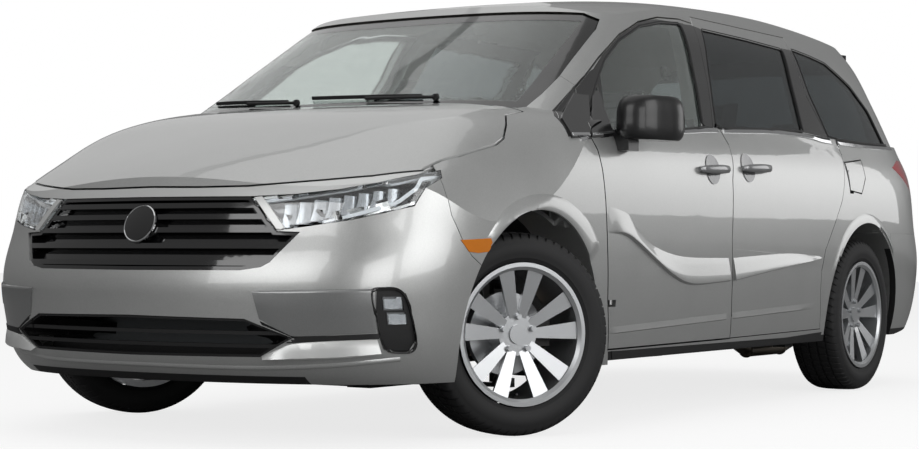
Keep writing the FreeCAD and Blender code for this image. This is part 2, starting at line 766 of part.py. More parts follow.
def tapered_opening(shares, grown):
    """A cutter for a door: its outline is seen on the skin and its edges lean as the rows say."""
    outline = grow([(row[0] * station, row[1] * waterline) for row in shares], grown)
    outside = body_width / 2 + overrun
    inside = opening_inner_share * buttock
    rims = []
    for x in (outside, inside):
        rim = []
        for row, (y, z) in zip(shares, outline):
            rim.append(Vector(x, y + row[2] * (x - side_x(row[1])), z))
        rims.append(ring_wire(rim))
    opening = Part.makeLoft(rims, True, True)
    (b0, s0, w0), (b1, s1, w1) = sill_core_shares
    core = block(((b0, s0, w0), (b1 - 2 * grown / buttock, s1, w1)))
    return opening.cut(core)


def wheel_well(axle_y, inner_share):
    """The clear round space about a wheel."""
    start = Vector(inner_share * buttock, axle_y, hub_z)
    return rod(start, Vector(body_width / 2 + overrun, axle_y, hub_z), arch_radius)


def wheel_housing(axle_y, inner_share):
    """The curved sheet over a wheel, open to the side and below."""
    start = Vector(inner_share * buttock - housing_wall, axle_y, hub_z)
    end = Vector(housing_outer_share * buttock, axle_y, hub_z)
    arch = rod(start, end, arch_radius + housing_wall).cut(wheel_well(axle_y, inner_share))
    size = 2 * (arch_radius + housing_wall)
    low = Vector(0, axle_y - size, floor_under_share * waterline - size)
    return arch.cut(Part.makeBox(body_width, 2 * size, size, low))


class Layers:
    """The nested outer surfaces of the body, each made once for each zone and shared."""

    def __init__(self):
        self.made = {}

    def keep(self, key, build):
        if key not in self.made:
            self.made[key] = build()
        return self.made[key]

    def zoned(self, kind, inset, zone, build):
        whole = self.keep((kind, inset), lambda: build(inset))
        if zone is None:
            return whole
        return self.keep((kind, inset, zone), lambda: whole.common(block(zone)))

    def low(self, inset, zone=None):
        return self.zoned("low", inset, zone, lower_body)

    def top(self, inset, zone=None):
        return self.zoned("top", inset, zone, cabin_body)

    def low_piece(self, prism, outer, inner, zone):
        """The part of a prism that lies between two layers of the lower body."""
        return prism.common(self.low(outer, zone)).cut(self.low(inner, zone))

    def top_piece(self, prism, outer, inner, zone):
        """The part of a prism that lies between two layers of the greenhouse."""
        return prism.common(self.top(outer, zone)).cut(self.top(inner, zone))


layers = Layers()


def left_wall():
    """The left half of the body's closed wall: the outer form less the clear space in the cabin."""
    outer = layers.low(0, left_zone_shares).fuse(layers.top(0, left_zone_shares))
    outer = outer.cut(side_prism(side_points(underside_shares), -body_width, body_width))
    above_floor = Part.makeBox(
        body_width,
        overall_length,
        2 * roof_height,
        Vector(0, cabin_front_share * station, floor_level_share * waterline),
    )
    cavity = layers.low(door_thickness, left_zone_shares).fuse(layers.top(frame_thickness, left_zone_shares))
    return outer.cut(cavity.common(above_floor))


def hinge_barrels(axis_x, axis_y, level):
    """One door hinge: the body's leaf with its pin, and the door's leaf with its bore."""
    base = Vector(axis_x, axis_y, level * waterline)
    up = Vector(0, 0, 1)
    body_barrel = Part.makeCylinder(hinge_radius, hinge_height, base - up * hinge_height, up)
    pin = Part.makeCylinder(hinge_pin_radius, 2 * hinge_height - hinge_radius, base - up * hinge_height, up)
    arm = Part.makeBox(
        hinge_arm_reach, 2 * (hinge_radius - hinge_leaf_margin), hinge_height,
        base + Vector(-hinge_arm_reach, hinge_leaf_margin - hinge_radius, -hinge_height),
    )
    forward = Part.makeBox(
        hinge_arm_width, hinge_arm_forward, hinge_height,
        base + Vector(-hinge_arm_reach, -hinge_arm_forward, -hinge_height),
    )
    body_side = fused([body_barrel, pin, arm, forward])
    door_barrel = Part.makeCylinder(hinge_radius, hinge_height, base + up * seat_clearance, up)
    leaf = Part.makeBox(
        2 * (hinge_radius - hinge_door_leaf_margin), hinge_notch_rear + hinge_notch_margin, hinge_height,
        base + Vector(hinge_door_leaf_margin - hinge_radius, 0, seat_clearance),
    )
    bore = Part.makeCylinder(hinge_pin_radius + seat_clearance, 2 * hinge_height, base, up)
    door_side = fused([door_barrel, leaf]).cut(bore)
    notch = Part.makeBox(
        body_width, hinge_notch_rear + hinge_notch_front, 2 * hinge_height + 2 * hinge_notch_margin,
        base + Vector(
            hinge_radius + hinge_door_leaf_margin - body_width,
            -hinge_notch_front,
            -hinge_height - hinge_notch_margin,
        ),
    )
    return body_side, door_side, notch


def hinged_door_hinges():
    """The two hinges of the left front door: body leaves, door leaves and notches."""
    sets = []
    for level in door_hinge_level_shares:
        sets.append(hinge_barrels(door_hinge_x, door_hinge_station_share * station, level))
    return sets


def glass_pane(outline, grown):
    """A left side pane that follows the skin a little below it, inside an outline."""
    prism = door_glass_prism(grow(outline, grown))
    return layers.top_piece(prism, glass_depth, glass_depth + glass_thickness, left_zone_shares)


def door_glass_prism(points):
    """A cutter for window openings in the left side."""
    return side_prism(points, opening_inner_share * buttock, body_width / 2 + overrun)


def divider_bar():
    """The upright bar between the front door's quarter light and its main glass."""
    (y0, z0), (y1, z1) = side_points(divider_shares)
    half = divider_width / 2
    outline = [(y0 - half, z0), (y0 + half, z0), (y1 + half, z1), (y1 - half, z1)]
    return layers.top_piece(door_glass_prism(outline), glass_depth / 2, frame_thickness / 2, left_zone_shares)


def front_door(wall):
    """The left front door with its hinge leaves, its glass and its mirror."""
    window = side_points(front_glass_shares)
    panel = wall.common(tapered_opening(front_door_shares, -shut_gap / 2))
    panel = panel.cut(door_glass_prism(window))
    bar = divider_bar().common(door_glass_prism(window))
    hinges = hinged_door_hinges()
    panel = less(panel, [notch for _, _, notch in hinges])
    panel = fused([panel, bar] + [leaf for _, leaf, _ in hinges])
    pane = glass_pane(window, -seat_clearance).cut(bar)
    return panel, pane


def mirror_housing():
    """The left door mirror: a rounded shell on a short foot."""
    outline = plan_points(mirror_plan_shares)
    middle_x = sum(x for x, y in outline) / len(outline)
    middle_y = sum(y for x, y in outline) / len(outline)
    rings = []
    for level, scale in mirror_section_shares:
        ring = []
        for x, y in outline:
            across = middle_x + (x - middle_x) * scale
            along = middle_y + (y - middle_y) * scale
            ring.append(Vector(across, along, level * waterline))
        rings.append(ring)
    foot = block(mirror_foot_shares)
    foot = foot.cut(layers.low(0, fender_zone_shares)).cut(layers.top(0, fender_zone_shares))
    return fused([stack(rings), foot])


def sliding_door(wall):
    """The left sliding door and its glass."""
    window = side_points(sliding_glass_shares)
    panel = wall.common(tapered_opening(sliding_door_shares, -shut_gap / 2))
    panel = panel.cut(door_glass_prism(window))
    pane = glass_pane(window, -seat_clearance)
    return panel, pane


def cowl():
    """The black cowl at the foot of the windscreen, notched for the bonnet's hinge arms."""
    low, high = cowl_levels_shares
    zone = block(((-cowl_half_share, cowl_front_share, low), (cowl_half_share, cowl_rear_share, high)))
    for notch in both(block(bonnet_notch_shares)):
        zone = zone.cut(notch)
    inner = frame_thickness + shut_gap
    return layers.top_piece(zone, glass_depth + glass_thickness, inner, screen_zone_shares)


def windscreen():
    """The windscreen, a little below the skin."""
    inner = glass_depth + glass_thickness
    return layers.top_piece(screen_prism(-seat_clearance), glass_depth, inner, screen_zone_shares)


def centre_pillar():
    """The left pillar inside the doors, from the sill to the roof rail."""
    edge = [(row[0] * station, row[1] * waterline) for row in sliding_door_shares[:sliding_pillar_rows]]
    outline = [(y - pillar_half_width, z) for y, z in edge]
    outline += [(y + pillar_half_width, z) for y, z in edge[::-1]]
    outline = [(y, z + pillar_rise * (1 if z > roof_height / 2 else -1)) for y, z in outline]
    band = side_prism(outline, opening_inner_share * buttock, body_width)
    depth = door_thickness + shut_gap
    rail = frame_thickness + shut_gap
    near = layers.low(depth, left_zone_shares).fuse(layers.top(rail, left_zone_shares))
    far_low = layers.low(depth + pillar_depth, left_zone_shares)
    far_top = layers.top(rail + pillar_depth, left_zone_shares)
    return band.common(near).cut(far_low).cut(far_top).cut(block(pillar_foot_shares))


def bonnet_swing(grown):
    """The round space about the hinge axis in which the bonnet's left rear corner turns."""
    y, z = side_points([bonnet_hinge_shares])[0]
    inner, outer = [share * buttock for share in bonnet_swing_side_shares]
    return rod(Vector(inner - grown, y, z), Vector(outer + grown, y, z), bonnet_swing_radius + grown)


def bonnet_outline(grown):
    """The bonnet's plan outline, with its front edge beyond the nose."""
    return grow(whole_outline(plan_points(bonnet_plan_shares)), grown)


def bonnet_edge(moved):
    """The solid above the line that the bonnet's front edge follows."""
    lower_edge = [(x, z + moved) for x, z in front_points(bonnet_edge_shares)]
    outline = lower_edge + [(lower_edge[-1][0], roof_height), (0, roof_height)]
    return front_prism(whole_outline(outline), -overall_length, bonnet_rear_limit_share * station)


def bonnet_space(grown):
    """All the space above the bonnet's edges."""
    plan = plan_prism(bonnet_outline(grown), 0, 2 * roof_height)
    ahead = plan.common(bonnet_edge(-grown))
    size = overall_length
    low = Vector(-size, bonnet_rear_limit_share * station, bonnet_side_level_share * waterline)
    behind = plan.common(Part.makeBox(2 * size, size, size, low))
    return ahead.fuse(behind)


def bonnet():
    """The bonnet panel with its two hinge arms."""
    space = bonnet_space(-shut_gap / 2).fuse(both(bonnet_swing(-shut_gap / 2)))
    panel = layers.low_piece(space, 0, hood_thickness, bonnet_zone_shares)
    for arm in both(bonnet_arm()):
        panel = panel.fuse(arm)
    return panel


def bonnet_arm():
    """The bonnet's left hinge arm, with the bore for its pin."""
    inner, outer = bonnet_arm_side_shares
    arm = side_prism(side_points(bonnet_arm_shares), inner * buttock, outer * buttock)
    y, z = side_points([bonnet_hinge_shares])[0]
    start = Vector(inner * buttock, y, z)
    end = Vector(outer * buttock, y, z)
    arm = arm.fuse(rod(start, end, hinge_radius))
    return arm.cut(rod(start, end, hinge_pin_radius + seat_clearance))


def bonnet_bracket():
    """The left bracket and pin on which the bonnet turns."""
    y, z = side_points([bonnet_hinge_shares])[0]
    inner, outer = bonnet_arm_side_shares
    pin = rod(Vector(bonnet_bracket_shares[0][0] * buttock, y, z), Vector(outer * buttock, y, z), hinge_pin_radius)
    return block(bonnet_bracket_shares).fuse(pin)


def left_fender():
    """The left front wing, up to the foot of the windscreen pillar."""
    zone = side_prism(grow(side_points(fender_side_shares), -seam / 2), fender_inner_share * buttock, body_width)
    outer = layers.low(0, fender_zone_shares).fuse(layers.top(0, fender_zone_shares))
    skin = zone.common(outer)
    for tool in (
        layers.low(sheet, fender_zone_shares),
        layers.top(sheet, fender_zone_shares),
        bonnet_space(shut_gap / 2),
        bonnet_swing(shut_gap / 2),
        screen_prism(seat_clearance),
        headlamp_prism(seat_clearance),
        wheel_well(front_axle_y, front_well_inner_share),
        tapered_opening(front_door_shares, shut_gap / 2),
    ):
        skin = skin.cut(tool)
    return skin


def screen_prism(grown):
    """The windscreen's outline, through the front of the cabin."""
    outline = grow(whole_outline(front_points(screen_shares)), grown)
    return front_prism(outline, cowl_front_share * station, screen_rear_share * station)


def headlamp_prism(grown):
    """The left headlamp's outline, through the nose."""
    outline = grow(front_points(headlamp_shares), grown)
    return front_prism(outline, -overall_length, bonnet_front_share * station)


def nose_prism(shares, grown, symmetric=True):
    """An opening in the nose, seen from the front."""
    points = front_points(shares)
    if symmetric:
        points = whole_outline(points)
    return front_prism(grow(points, grown), -overall_length, nose_rear_share * station)


def front_bumper():
    """The front bumper cover, with the openings for grille, intake and lamp pods."""
    zone = side_prism(grow(side_points(bumper_side_shares), -seam / 2), -body_width, body_width)
    skin = layers.low_piece(zone, 0, fascia, nose_zone_shares)
    pods = nose_prism(bezel_shares, 0, False)
    tools = [
        side_prism(side_points(underside_shares), -body_width, body_width),
        bonnet_space(shut_gap / 2),
        nose_prism(upper_bar_shares, seat_clearance),
        nose_prism(grille_shares, seat_clearance),
        nose_prism(intake_shares, seat_clearance),
        pods,
        mirrored(pods),
        headlamp_prism(seat_clearance),
        mirrored(headlamp_prism(seat_clearance)),
        wheel_well(front_axle_y, front_well_inner_share),
        mirrored(wheel_well(front_axle_y, front_well_inner_share)),
    ]
    for tool in tools:
        skin = skin.cut(tool)
    return max(skin.Solids, key=lambda solid: solid.Volume)


def level_slabs(levels, height, opening):
    """Level slabs inside an opening."""
    slabs = []
    for level in levels:
        low = Vector(-body_width, -overall_length, level * waterline - height / 2)
        slabs.append(Part.makeBox(2 * body_width, overall_length, height, low))
    return opening.common(Part.makeCompound(slabs))


def upper_grille():
    """The upper grille: level bars and an emblem plinth on an open frame and back panel."""
    opening = nose_prism(grille_shares, 0)
    core = nose_prism(grille_shares, -grille_frame)
    slabs = level_slabs(grille_bar_level_shares, grille_bar_height, opening)
    x, level = emblem_plinth_shares
    centre = Vector(x * buttock, -overall_length / 2 - overrun, level * waterline)
    disc = Part.makeCylinder(emblem_plinth_radius, overall_length / 4, centre, Vector(0, 1, 0))
    lattice = opening.cut(core).fuse(slabs).fuse(disc)
    front = layers.low_piece(lattice, grille_inset, grille_back_inset, grille_zone_shares)
    back = layers.low_piece(opening, fascia + grille_inset, grille_back_inset, grille_zone_shares)
    return front.fuse(back)


def upper_bar():
    """The bright bar between the bonnet and the grille."""
    bar = layers.low_piece(nose_prism(upper_bar_shares, 0), sheet / 2, fascia, upper_bar_zone_shares)
    for tool in (
        bonnet_space(shut_gap / 2),
        nose_prism(grille_shares, seat_clearance),
        headlamp_prism(seat_clearance),
        mirrored(headlamp_prism(seat_clearance)),
    ):
        bar = bar.cut(tool)
    return bar


def lower_intake():
    """The lower intake: a frame with level bars."""
    opening = nose_prism(intake_shares, 0)
    core = nose_prism(intake_shares, -intake_frame)
    slabs = level_slabs(intake_bar_level_shares, intake_bar_height, opening)
    lattice = opening.cut(core).fuse(slabs)
    return layers.low_piece(lattice, grille_inset, fascia, intake_zone_shares)


def headlamp():
    """The left headlamp as one closed unit."""
    unit = layers.low_piece(headlamp_prism(0), 0, headlamp_depth, headlamp_zone_shares)
    return unit.cut(bonnet_space(shut_gap / 2))


def lamp_prisms(grown):
    """The outlines of the two lamps of the left pod, through the nose."""
    prisms = []
    for (b0, w0), (b1, w1) in fog_lamp_shares:
        outline = grow(front_points(((b0, w0), (b1, w0), (b1, w1), (b0, w1))), grown)
        prisms.append(front_prism(outline, -overall_length, nose_rear_share * station))
    return prisms


def fog_pod():
    """The left lamp pod: a recessed bezel with two lamps and a pocket below."""
    prism = nose_prism(bezel_shares, -seat_clearance, False).cut(Part.makeCompound(lamp_prisms(0)))
    return layers.low_piece(prism, sheet, fascia + sheet, pod_zone_shares)


def fog_lamps():
    """The two lamps of the left pod."""
    prisms = Part.makeCompound(lamp_prisms(-seat_clearance))
    return layers.low_piece(prisms, fog_lamp_inset, fog_lamp_depth, pod_zone_shares)


def tailgate_space(grown):
    """The space of the tailgate, from its outline seen from behind."""
    outline = grow(whole_outline(front_points(tailgate_shares)), grown)
    return front_prism(outline, tailgate_front_share * station - grown, overall_length)


def tailgate(wall):
    """The tailgate with its spoiler and hinge arms, and its glass."""
    window = whole_outline(front_points(tailgate_glass_shares))
    depth_from = tailgate_front_share * station
    panel = wall.common(tailgate_space(-shut_gap / 2))
    panel = panel.cut(front_prism(window, depth_from, overall_length))
    plan = plan_prism(grow(whole_outline(plan_points(spoiler_shares)), -shut_gap / 2), 0, 2 * roof_height)
    spoiler = plan.common(roof_field(0)).cut(roof_field(spoiler_thickness)).common(left_half())
    panel = panel.fuse(spoiler).fuse(tailgate_arm())
    whole = panel.fuse(mirrored(panel))
    clear = front_prism(grow(window, -seat_clearance), depth_from, overall_length)
    pane = layers.top_piece(clear, glass_depth, glass_depth + glass_thickness, None)
    return whole, pane


def tailgate_hinge_ends(share_pair):
    """The ends of a line along the tailgate's hinge axis."""
    y, z = side_points([tailgate_hinge_shares])[0]
    return [Vector(share * buttock, y, z) for share in share_pair]


def tailgate_arm():
    """The tailgate's left hinge arm, which passes under the roof's rear edge."""
    inner, outer = tailgate_arm_side_shares
    arm = side_prism(side_points(tailgate_arm_shares), inner * buttock, outer * buttock)
    start, end = tailgate_hinge_ends(tailgate_arm_side_shares)
    arm = arm.fuse(rod(start, end, hinge_radius))
    return arm.cut(rod(start, end, hinge_pin_radius + seat_clearance))


def roof_end_clearance():
    """What the roof's rear edge gives up so that the tailgate's front edge can turn past it."""
    low, high = roof_end_shares
    start, end = tailgate_hinge_ends((-buttocks_in_width / 2, buttocks_in_width / 2))
    radius = tailgate_front_share * station - start.y - shut_gap
    return block((low, high)).cut(rod(start, end, radius))


def tail_lamp():
    """The left tail lamp, wrapped round the rear corner."""
    return layers.low_piece(tail_lamp_space(-seat_clearance), 0, tail_lamp_depth, tail_zone_shares)


def tail_lamp_space(grown):
    """The space of the left tail lamp."""
    outline = grow(side_points(tail_lamp_shares), grown)
    return side_prism(outline, tail_lamp_inner_share * buttock - grown, body_width)


def rear_bumper():
    """The rear bumper cover."""
    zone = side_prism(grow(side_points(rear_bumper_shares), -seam / 2), -body_width, body_width)
    skin = layers.low_piece(zone, 0, fascia, tail_zone_shares)
    for tool in (
        side_prism(side_points(underside_shares), -body_width, body_width),
        tailgate_space(shut_gap / 2),
        wheel_well(rear_axle_y, rear_well_inner_share),
        mirrored(wheel_well(rear_axle_y, rear_well_inner_share)),
    ):
        skin = skin.cut(tool)
    return skin


def fuel_door():
    """The fuel door on the left rear quarter, with the barrel of its upright hinge."""
    prism = side_prism(grow(side_points(fuel_door_shares), -shut_gap / 2), 0, body_width)
    flap = layers.low_piece(prism, 0, fuel_door_thickness, quarter_zone_shares)
    start, end = fuel_hinge_ends(fuel_barrel_shares)
    leaf = Part.makeBox(
        fuel_leaf_reach, 2 * fuel_barrel_radius, end.z - start.z,
        start + Vector(0, -fuel_barrel_radius, 0),
    )
    flap = flap.fuse(leaf).fuse(rod(start, end, fuel_barrel_radius))
    return flap.cut(rod(start, end, fuel_pin_radius + seat_clearance))


def fuel_hinge_ends(level_shares):
    """Two points on the fuel door's hinge axis."""
    y = fuel_hinge_share * station
    return [Vector(fuel_hinge_x, y, level * waterline) for level in level_shares]


def fuel_pocket():
    """The pocket behind the fuel door and the space its front edge turns in."""
    pocket = side_prism(grow(side_points(fuel_door_shares), shut_gap / 2), 0, body_width)
    start, end = fuel_hinge_ends(fuel_swing_level_shares)
    return beyond(pocket, fuel_pocket_depth).fuse(rod(start, end, fuel_swing_radius))


def left_half():
    """All the space on the car's left side."""
    size = 2 * overall_length
    return Part.makeBox(size, size, size, Vector(0, -size / 2, -size / 2))


def left_shell(wall):
    """The left half of the cabin's fixed shell."""
    behind = Part.makeBox(
        body_width, overall_length, 2 * roof_height, Vector(0, cabin_front_share * station, 0),
    )
    shell = wall.common(behind)
    shell = shell.cut([
        wheel_well(front_axle_y, front_well_inner_share),
        wheel_well(rear_axle_y, rear_well_inner_share),
        block(floor_under_shares),
        door_glass_prism(side_points(quarter_glass_shares)),
        tail_lamp_space(0),
        tailgate_space(shut_gap / 2),
        roof_end_clearance(),
        block(tailgate_notch_shares),
        screen_prism(0),
    ])
    shell = shell.cut(beyond(side_prism(side_points(rear_bumper_shares), 0, body_width), fascia))
    shell = shell.cut(beyond(side_prism(side_points(fender_side_shares), 0, body_width), sheet))
    openings = [tapered_opening(front_door_shares, shut_gap / 2)]
    openings.append(tapered_opening(sliding_door_shares, seat_clearance))
    shell = shell.cut(openings + door_swings())
    return shell


def door_swings():
    """The round spaces about the left door's hinge axis in which its front edge turns."""
    spaces = []
    for radius, low, high in door_swing_shares:
        centre = Vector(door_hinge_x, door_hinge_station_share * station, low * waterline)
        spaces.append(Part.makeCylinder(radius * buttock, (high - low) * waterline, centre))
    return spaces


def hinge_pillar():
    """The left pillar ahead of the front door, which carries the door's hinges."""
    pillar = block(hinge_pillar_shares).common(layers.low(door_thickness + shut_gap, left_zone_shares))
    for space in door_swings():
        pillar = pillar.cut(space)
    web = block(hinge_web_shares).common(layers.low(fascia, left_zone_shares))
    made = pillar.fuse(web).cut(wheel_well(front_axle_y, front_well_inner_share))
    for leaf, _, _ in hinged_door_hinges():
        made = made.fuse(leaf)
    return made


def left_front_structure():
    """The left half of the structure ahead of the cabin."""
    made = [block(((0, *firewall_shares[0]), (firewall_half_share, *firewall_shares[1])))]
    made.append(block(plenum_shares))
    made.append(block(apron_shares))
    made += [block(shares) for shares in radiator_support_shares]
    made.append(block(bumper_beam_shares))
    made.append(wheel_housing(front_axle_y, front_well_inner_share))
    whole = fused([solid.common(left_half()) for solid in made]).common(layers.low(fascia, left_zone_shares))
    tools = [wheel_well(front_axle_y, front_well_inner_share)]
    tools += [block(lamp_corner_shares), block(bonnet_corner_shares)]
    for tool in tools + door_swings():
        whole = whole.cut(tool)
    return whole


def body_shell(wall):
    """The fixed shell: floor, sills, pillars, roof, quarters, wheel housings and front structure."""
    shell = left_shell(wall)
    zone = left_zone_shares
    housing = wheel_housing(rear_axle_y, rear_well_inner_share).common(layers.low(fascia, zone))
    parts = [left_front_structure(), hinge_pillar(), centre_pillar(), housing]
    parts.append(bonnet_bracket())
    parts += [block(shares) for shares in jack_pad_shares]
    parts.append(rod(*tailgate_hinge_ends(tailgate_pin_shares), hinge_pin_radius))
    for part in parts:
        shell = shell.fuse(part)
    right = mirrored(shell)
    left = shell.cut(fuel_pocket()).fuse(rod(*fuel_hinge_ends(fuel_pin_shares), fuel_pin_radius))
    whole = left.fuse(right)
    return whole


def beyond(zone, inset):
    """The part of a zone that lies outside the body's surface, moved inwards by the inset."""
    return zone.cut(layers.low(inset, left_zone_shares)).cut(layers.top(inset, left_zone_shares))


def dashboard():
    """The dashboard with its cowl over the dials."""
    whole = fused([soft_block(shares, trim_rounding) for shares in dashboard_shares])
    bore = Part.makeCylinder(column_radius + seat_clearance, 2 * column_length, Vector(0, 0, -2 * column_length))
    return whole.cut(at_driver(bore))


def steering_wheel():
    """The steering wheel on its column."""
    rim = Part.makeTorus(steering_wheel_radius, steering_rim_radius)
    hub = Part.makeCylinder(steering_hub_radius, steering_rim_radius * 2, Vector(0, 0, -steering_rim_radius))
    spokes = []
    for angle in steering_spoke_degrees:
        spoke = Part.makeBox(
            steering_wheel_radius, steering_rim_radius * 2, steering_rim_radius,
            Vector(0, -steering_rim_radius, -steering_rim_radius / 2),
        )
        spokes.append(spoke.rotate(Vector(0, 0, 0), Vector(0, 0, 1), angle))
    column = Part.makeCylinder(column_radius, column_length, Vector(0, 0, -column_length))
    return at_driver(fused([rim, hub, column] + spokes))


def at_driver(solid):
    """A solid made about the steering wheel's centre, tilted and moved to the driver's place."""
    solid.rotate(Vector(0, 0, 0), Vector(1, 0, 0), -column_tilt_degrees)
    solid.translate(grid_point(steering_wheel_shares))
    return solid


def grid_point(shares):
    """A point from buttock, station and waterline."""
    return Vector(shares[0] * buttock, shares[1] * station, shares[2] * waterline)


def seat(place_shares, width_share):
    """A seat: plinth, cushion, reclined back and headrest, facing forward."""
    b, s = place_shares
    half = width_share / 2
    made = []
    for (s0, w0), (s1, w1), inset_share, rounding in seat_block_shares:
        corners = ((b - half + inset_share, s + s0, w0), (b + half - inset_share, s + s1, w1))
        made.append(soft_block(corners, rounding))
    hinge = Vector(b * buttock, (s + seat_hinge_shares[0]) * station, seat_hinge_shares[1] * waterline)
    for (s0, w0), (s1, w1), inset_share, rounding in seat_back_shares:
        corners = ((b - half + inset_share, s + s0, w0), (b + half - inset_share, s + s1, w1))
        back = soft_block(corners, rounding)
        back.rotate(hinge, Vector(1, 0, 0), -seat_recline_degrees)
        made.append(back)
    for side in (-1, 1):
        low, high = headrest_post_level_shares
        foot = grid_point((b, s + headrest_post_share, low)) + Vector(side * headrest_post_spacing / 2, 0, 0)
        post = Part.makeCylinder(headrest_post_radius, (high - low) * waterline, foot)
        post.rotate(hinge, Vector(1, 0, 0), -seat_recline_degrees)
        made.append(post)
    return fused(made)


def tyre():
    """A tyre about the X axis."""
    half = tyre_width / 2
    radius = tyre_diameter / 2
    bead = rim_lip_diameter / 2 - rim_flange
    profile = [
        (-half * tyre_bead_share, bead), (-half, bead + (radius - bead) * tyre_bulge_share),
        (-half * tyre_shoulder_share, radius - tyre_shoulder_drop), (0, radius),
        (half * tyre_shoulder_share, radius - tyre_shoulder_drop),
        (half, bead + (radius - bead) * tyre_bulge_share), (half * tyre_bead_share, bead),
    ]
    points = [Vector(x, r, 0) for x, r in profile]
    wall_left = Part.Arc(points[0], points[1], points[2]).toShape()
    tread = Part.Arc(points[2], points[3], points[4]).toShape()
    wall_right = Part.Arc(points[4], points[5], points[6]).toShape()
    base = Part.makeLine(points[6], points[0])
    face = Part.Face(Part.Wire([wall_left, tread, wall_right, base]))
    solid = face.revolve(Vector(0, 0, 0), Vector(1, 0, 0), 360)
    flange = rim_lip_diameter / 2 + seat_clearance
    for side in (-1, 1):
        start = Vector(side * (half * tyre_bead_share - seat_clearance), 0, 0)
        solid = solid.cut(Part.makeCylinder(flange, tyre_width, start, Vector(side, 0, 0)))
    return solid


def rim():
    """A spoked rim with hub, wheel nuts and brake disc about the X axis, outboard along +X."""
    lip = rim_lip_diameter / 2
    seat_radius = lip - rim_flange - seat_clearance
    inner = seat_radius - rim_wall
    half = tyre_width / 2 * tyre_bead_share
    outer_face = half + rim_flange_width
    profile = [
        (-outer_face, lip), (-half, lip), (-half, seat_radius), (half, seat_radius), (half, lip),
        (outer_face, lip), (outer_face, lip - rim_flange), (half, inner), (-outer_face, inner),
    ]
    wire = ring_wire([Vector(x, r, 0) for x, r in profile])
    barrel = Part.Face(wire).revolve(Vector(0, 0, 0), Vector(1, 0, 0), 360)
    face_x = outer_face - rim_face_recess
    spokes = []
    for k in range(rim_spoke_pairs):
        for side in (-1, 1):
            angle = 360 / rim_spoke_pairs * k + side * rim_spoke_half_angle
            root = rim_spoke_section(rim_hub_radius * rim_root_share, face_x, rim_spoke_root_width)
            tip = rim_spoke_section(inner + rim_wall / 2, outer_face - rim_tip_recess, rim_spoke_tip_width)
            spoke = Part.makeLoft([root, tip], True, True)
            spokes.append(spoke.rotate(Vector(0, 0, 0), Vector(1, 0, 0), angle))
    hub = Part.makeCylinder(rim_hub_radius, rim_hub_depth, Vector(face_x - rim_hub_depth, 0, 0), Vector(1, 0, 0))
    cap = Part.makeCylinder(hub_cap_radius, hub_cap_height, Vector(face_x, 0, 0), Vector(1, 0, 0))
    nuts = []
    for k in range(wheel_nut_count):
        angle = math.radians(360 / wheel_nut_count * k)
        centre = Vector(face_x, wheel_nut_circle / 2 * math.sin(angle), wheel_nut_circle / 2 * math.cos(angle))
        nuts.append(Part.makeCylinder(wheel_nut_radius, wheel_nut_height, centre, Vector(1, 0, 0)))
    disc = Part.makeCylinder(disc_radius, disc_thickness, Vector(disc_inner_x, 0, 0), Vector(1, 0, 0))
    bell = Part.makeCylinder(
        disc_bell_radius, face_x - rim_hub_depth - disc_inner_x, Vector(disc_inner_x, 0, 0), Vector(1, 0, 0)
    )
    whole = fused([barrel, hub, cap, disc, bell] + spokes + nuts)
    return whole.cut(spindle(seat_clearance))


def spindle(grown):
    """The bar on which a wheel turns, from behind the disc into the hub, or the bore around it."""
    reach = tyre_width / 2 * tyre_bead_share - rim_face_recess - disc_inner_x
    length = reach + disc_gap + grown
    start = Vector(disc_inner_x - disc_gap, 0, 0)
    return Part.makeCylinder(spindle_radius + grown, length, start, Vector(1, 0, 0))


def rim_spoke_section(radius, x, width):
    """A spoke's cross section at a radius, square to the radius."""
    half = width / 2
    depth = rim_spoke_depth
    corners = [(x, -half), (x, half), (x - depth, half * rim_spoke_back_share), (x - depth, -half * rim_spoke_back_share)]
    return ring_wire([Vector(cx, cy, radius) for cx, cy in corners])


def at_wheel(solid, side, axle_y, degrees):
    """A wheel part at its place: side 1 is left, -1 is right."""
    placed = solid.copy() if side > 0 else solid.mirror(Vector(0, 0, 0), Vector(1, 0, 0))
    placed.rotate(Vector(0, 0, 0), Vector(0, 0, 1), degrees)
    placed.translate(Vector(side * wheel_x, axle_y, hub_z))
    return placed


def knuckle():
    """A steered hub carrier with its caliper, outboard along +X, about the wheel's centre."""
    column = Part.makeBox(
        knuckle_column_depth, knuckle_column_width, 2 * knuckle_lug_top,
        Vector(knuckle_inner_x, -knuckle_column_width / 2, -knuckle_lug_top),
    )
    made = [column]
    for side in (-1, 1):
        low = knuckle_lug_low if side > 0 else -knuckle_lug_top
        lug = Part.makeBox(
            -knuckle_inner_x + knuckle_lug_width / 2, knuckle_lug_width, knuckle_lug_top - knuckle_lug_low,
            Vector(knuckle_inner_x, -knuckle_lug_width / 2, low),
        )
        bore = Part.makeCylinder(ball_radius + seat_clearance, roof_height, Vector(0, 0, 0), Vector(0, 0, side))
        made.append(lug.cut(bore))
    bearing = Part.makeCylinder(
        bearing_radius, disc_inner_x - disc_gap - knuckle_inner_x, Vector(knuckle_inner_x, 0, 0), Vector(1, 0, 0)
    )
    made += [bearing, spindle(0)]
    caliper = Part.makeBox(
        caliper_outer_x - knuckle_inner_x, caliper_outer_radius - caliper_inner_radius, caliper_height,
        Vector(knuckle_inner_x, caliper_inner_radius, -caliper_height / 2),
    )
    slot = Part.makeCylinder(
        disc_radius + disc_gap, disc_thickness + 2 * disc_gap, Vector(disc_inner_x - disc_gap, 0, 0), Vector(1, 0, 0)
    )
    bridge = Part.makeBox(
        knuckle_column_depth, caliper_inner_radius + disc_gap, knuckle_column_width,
        Vector(knuckle_inner_x, 0, -knuckle_column_width / 2),
    )
    made += [caliper.cut(slot), bridge]
    return fused(made)


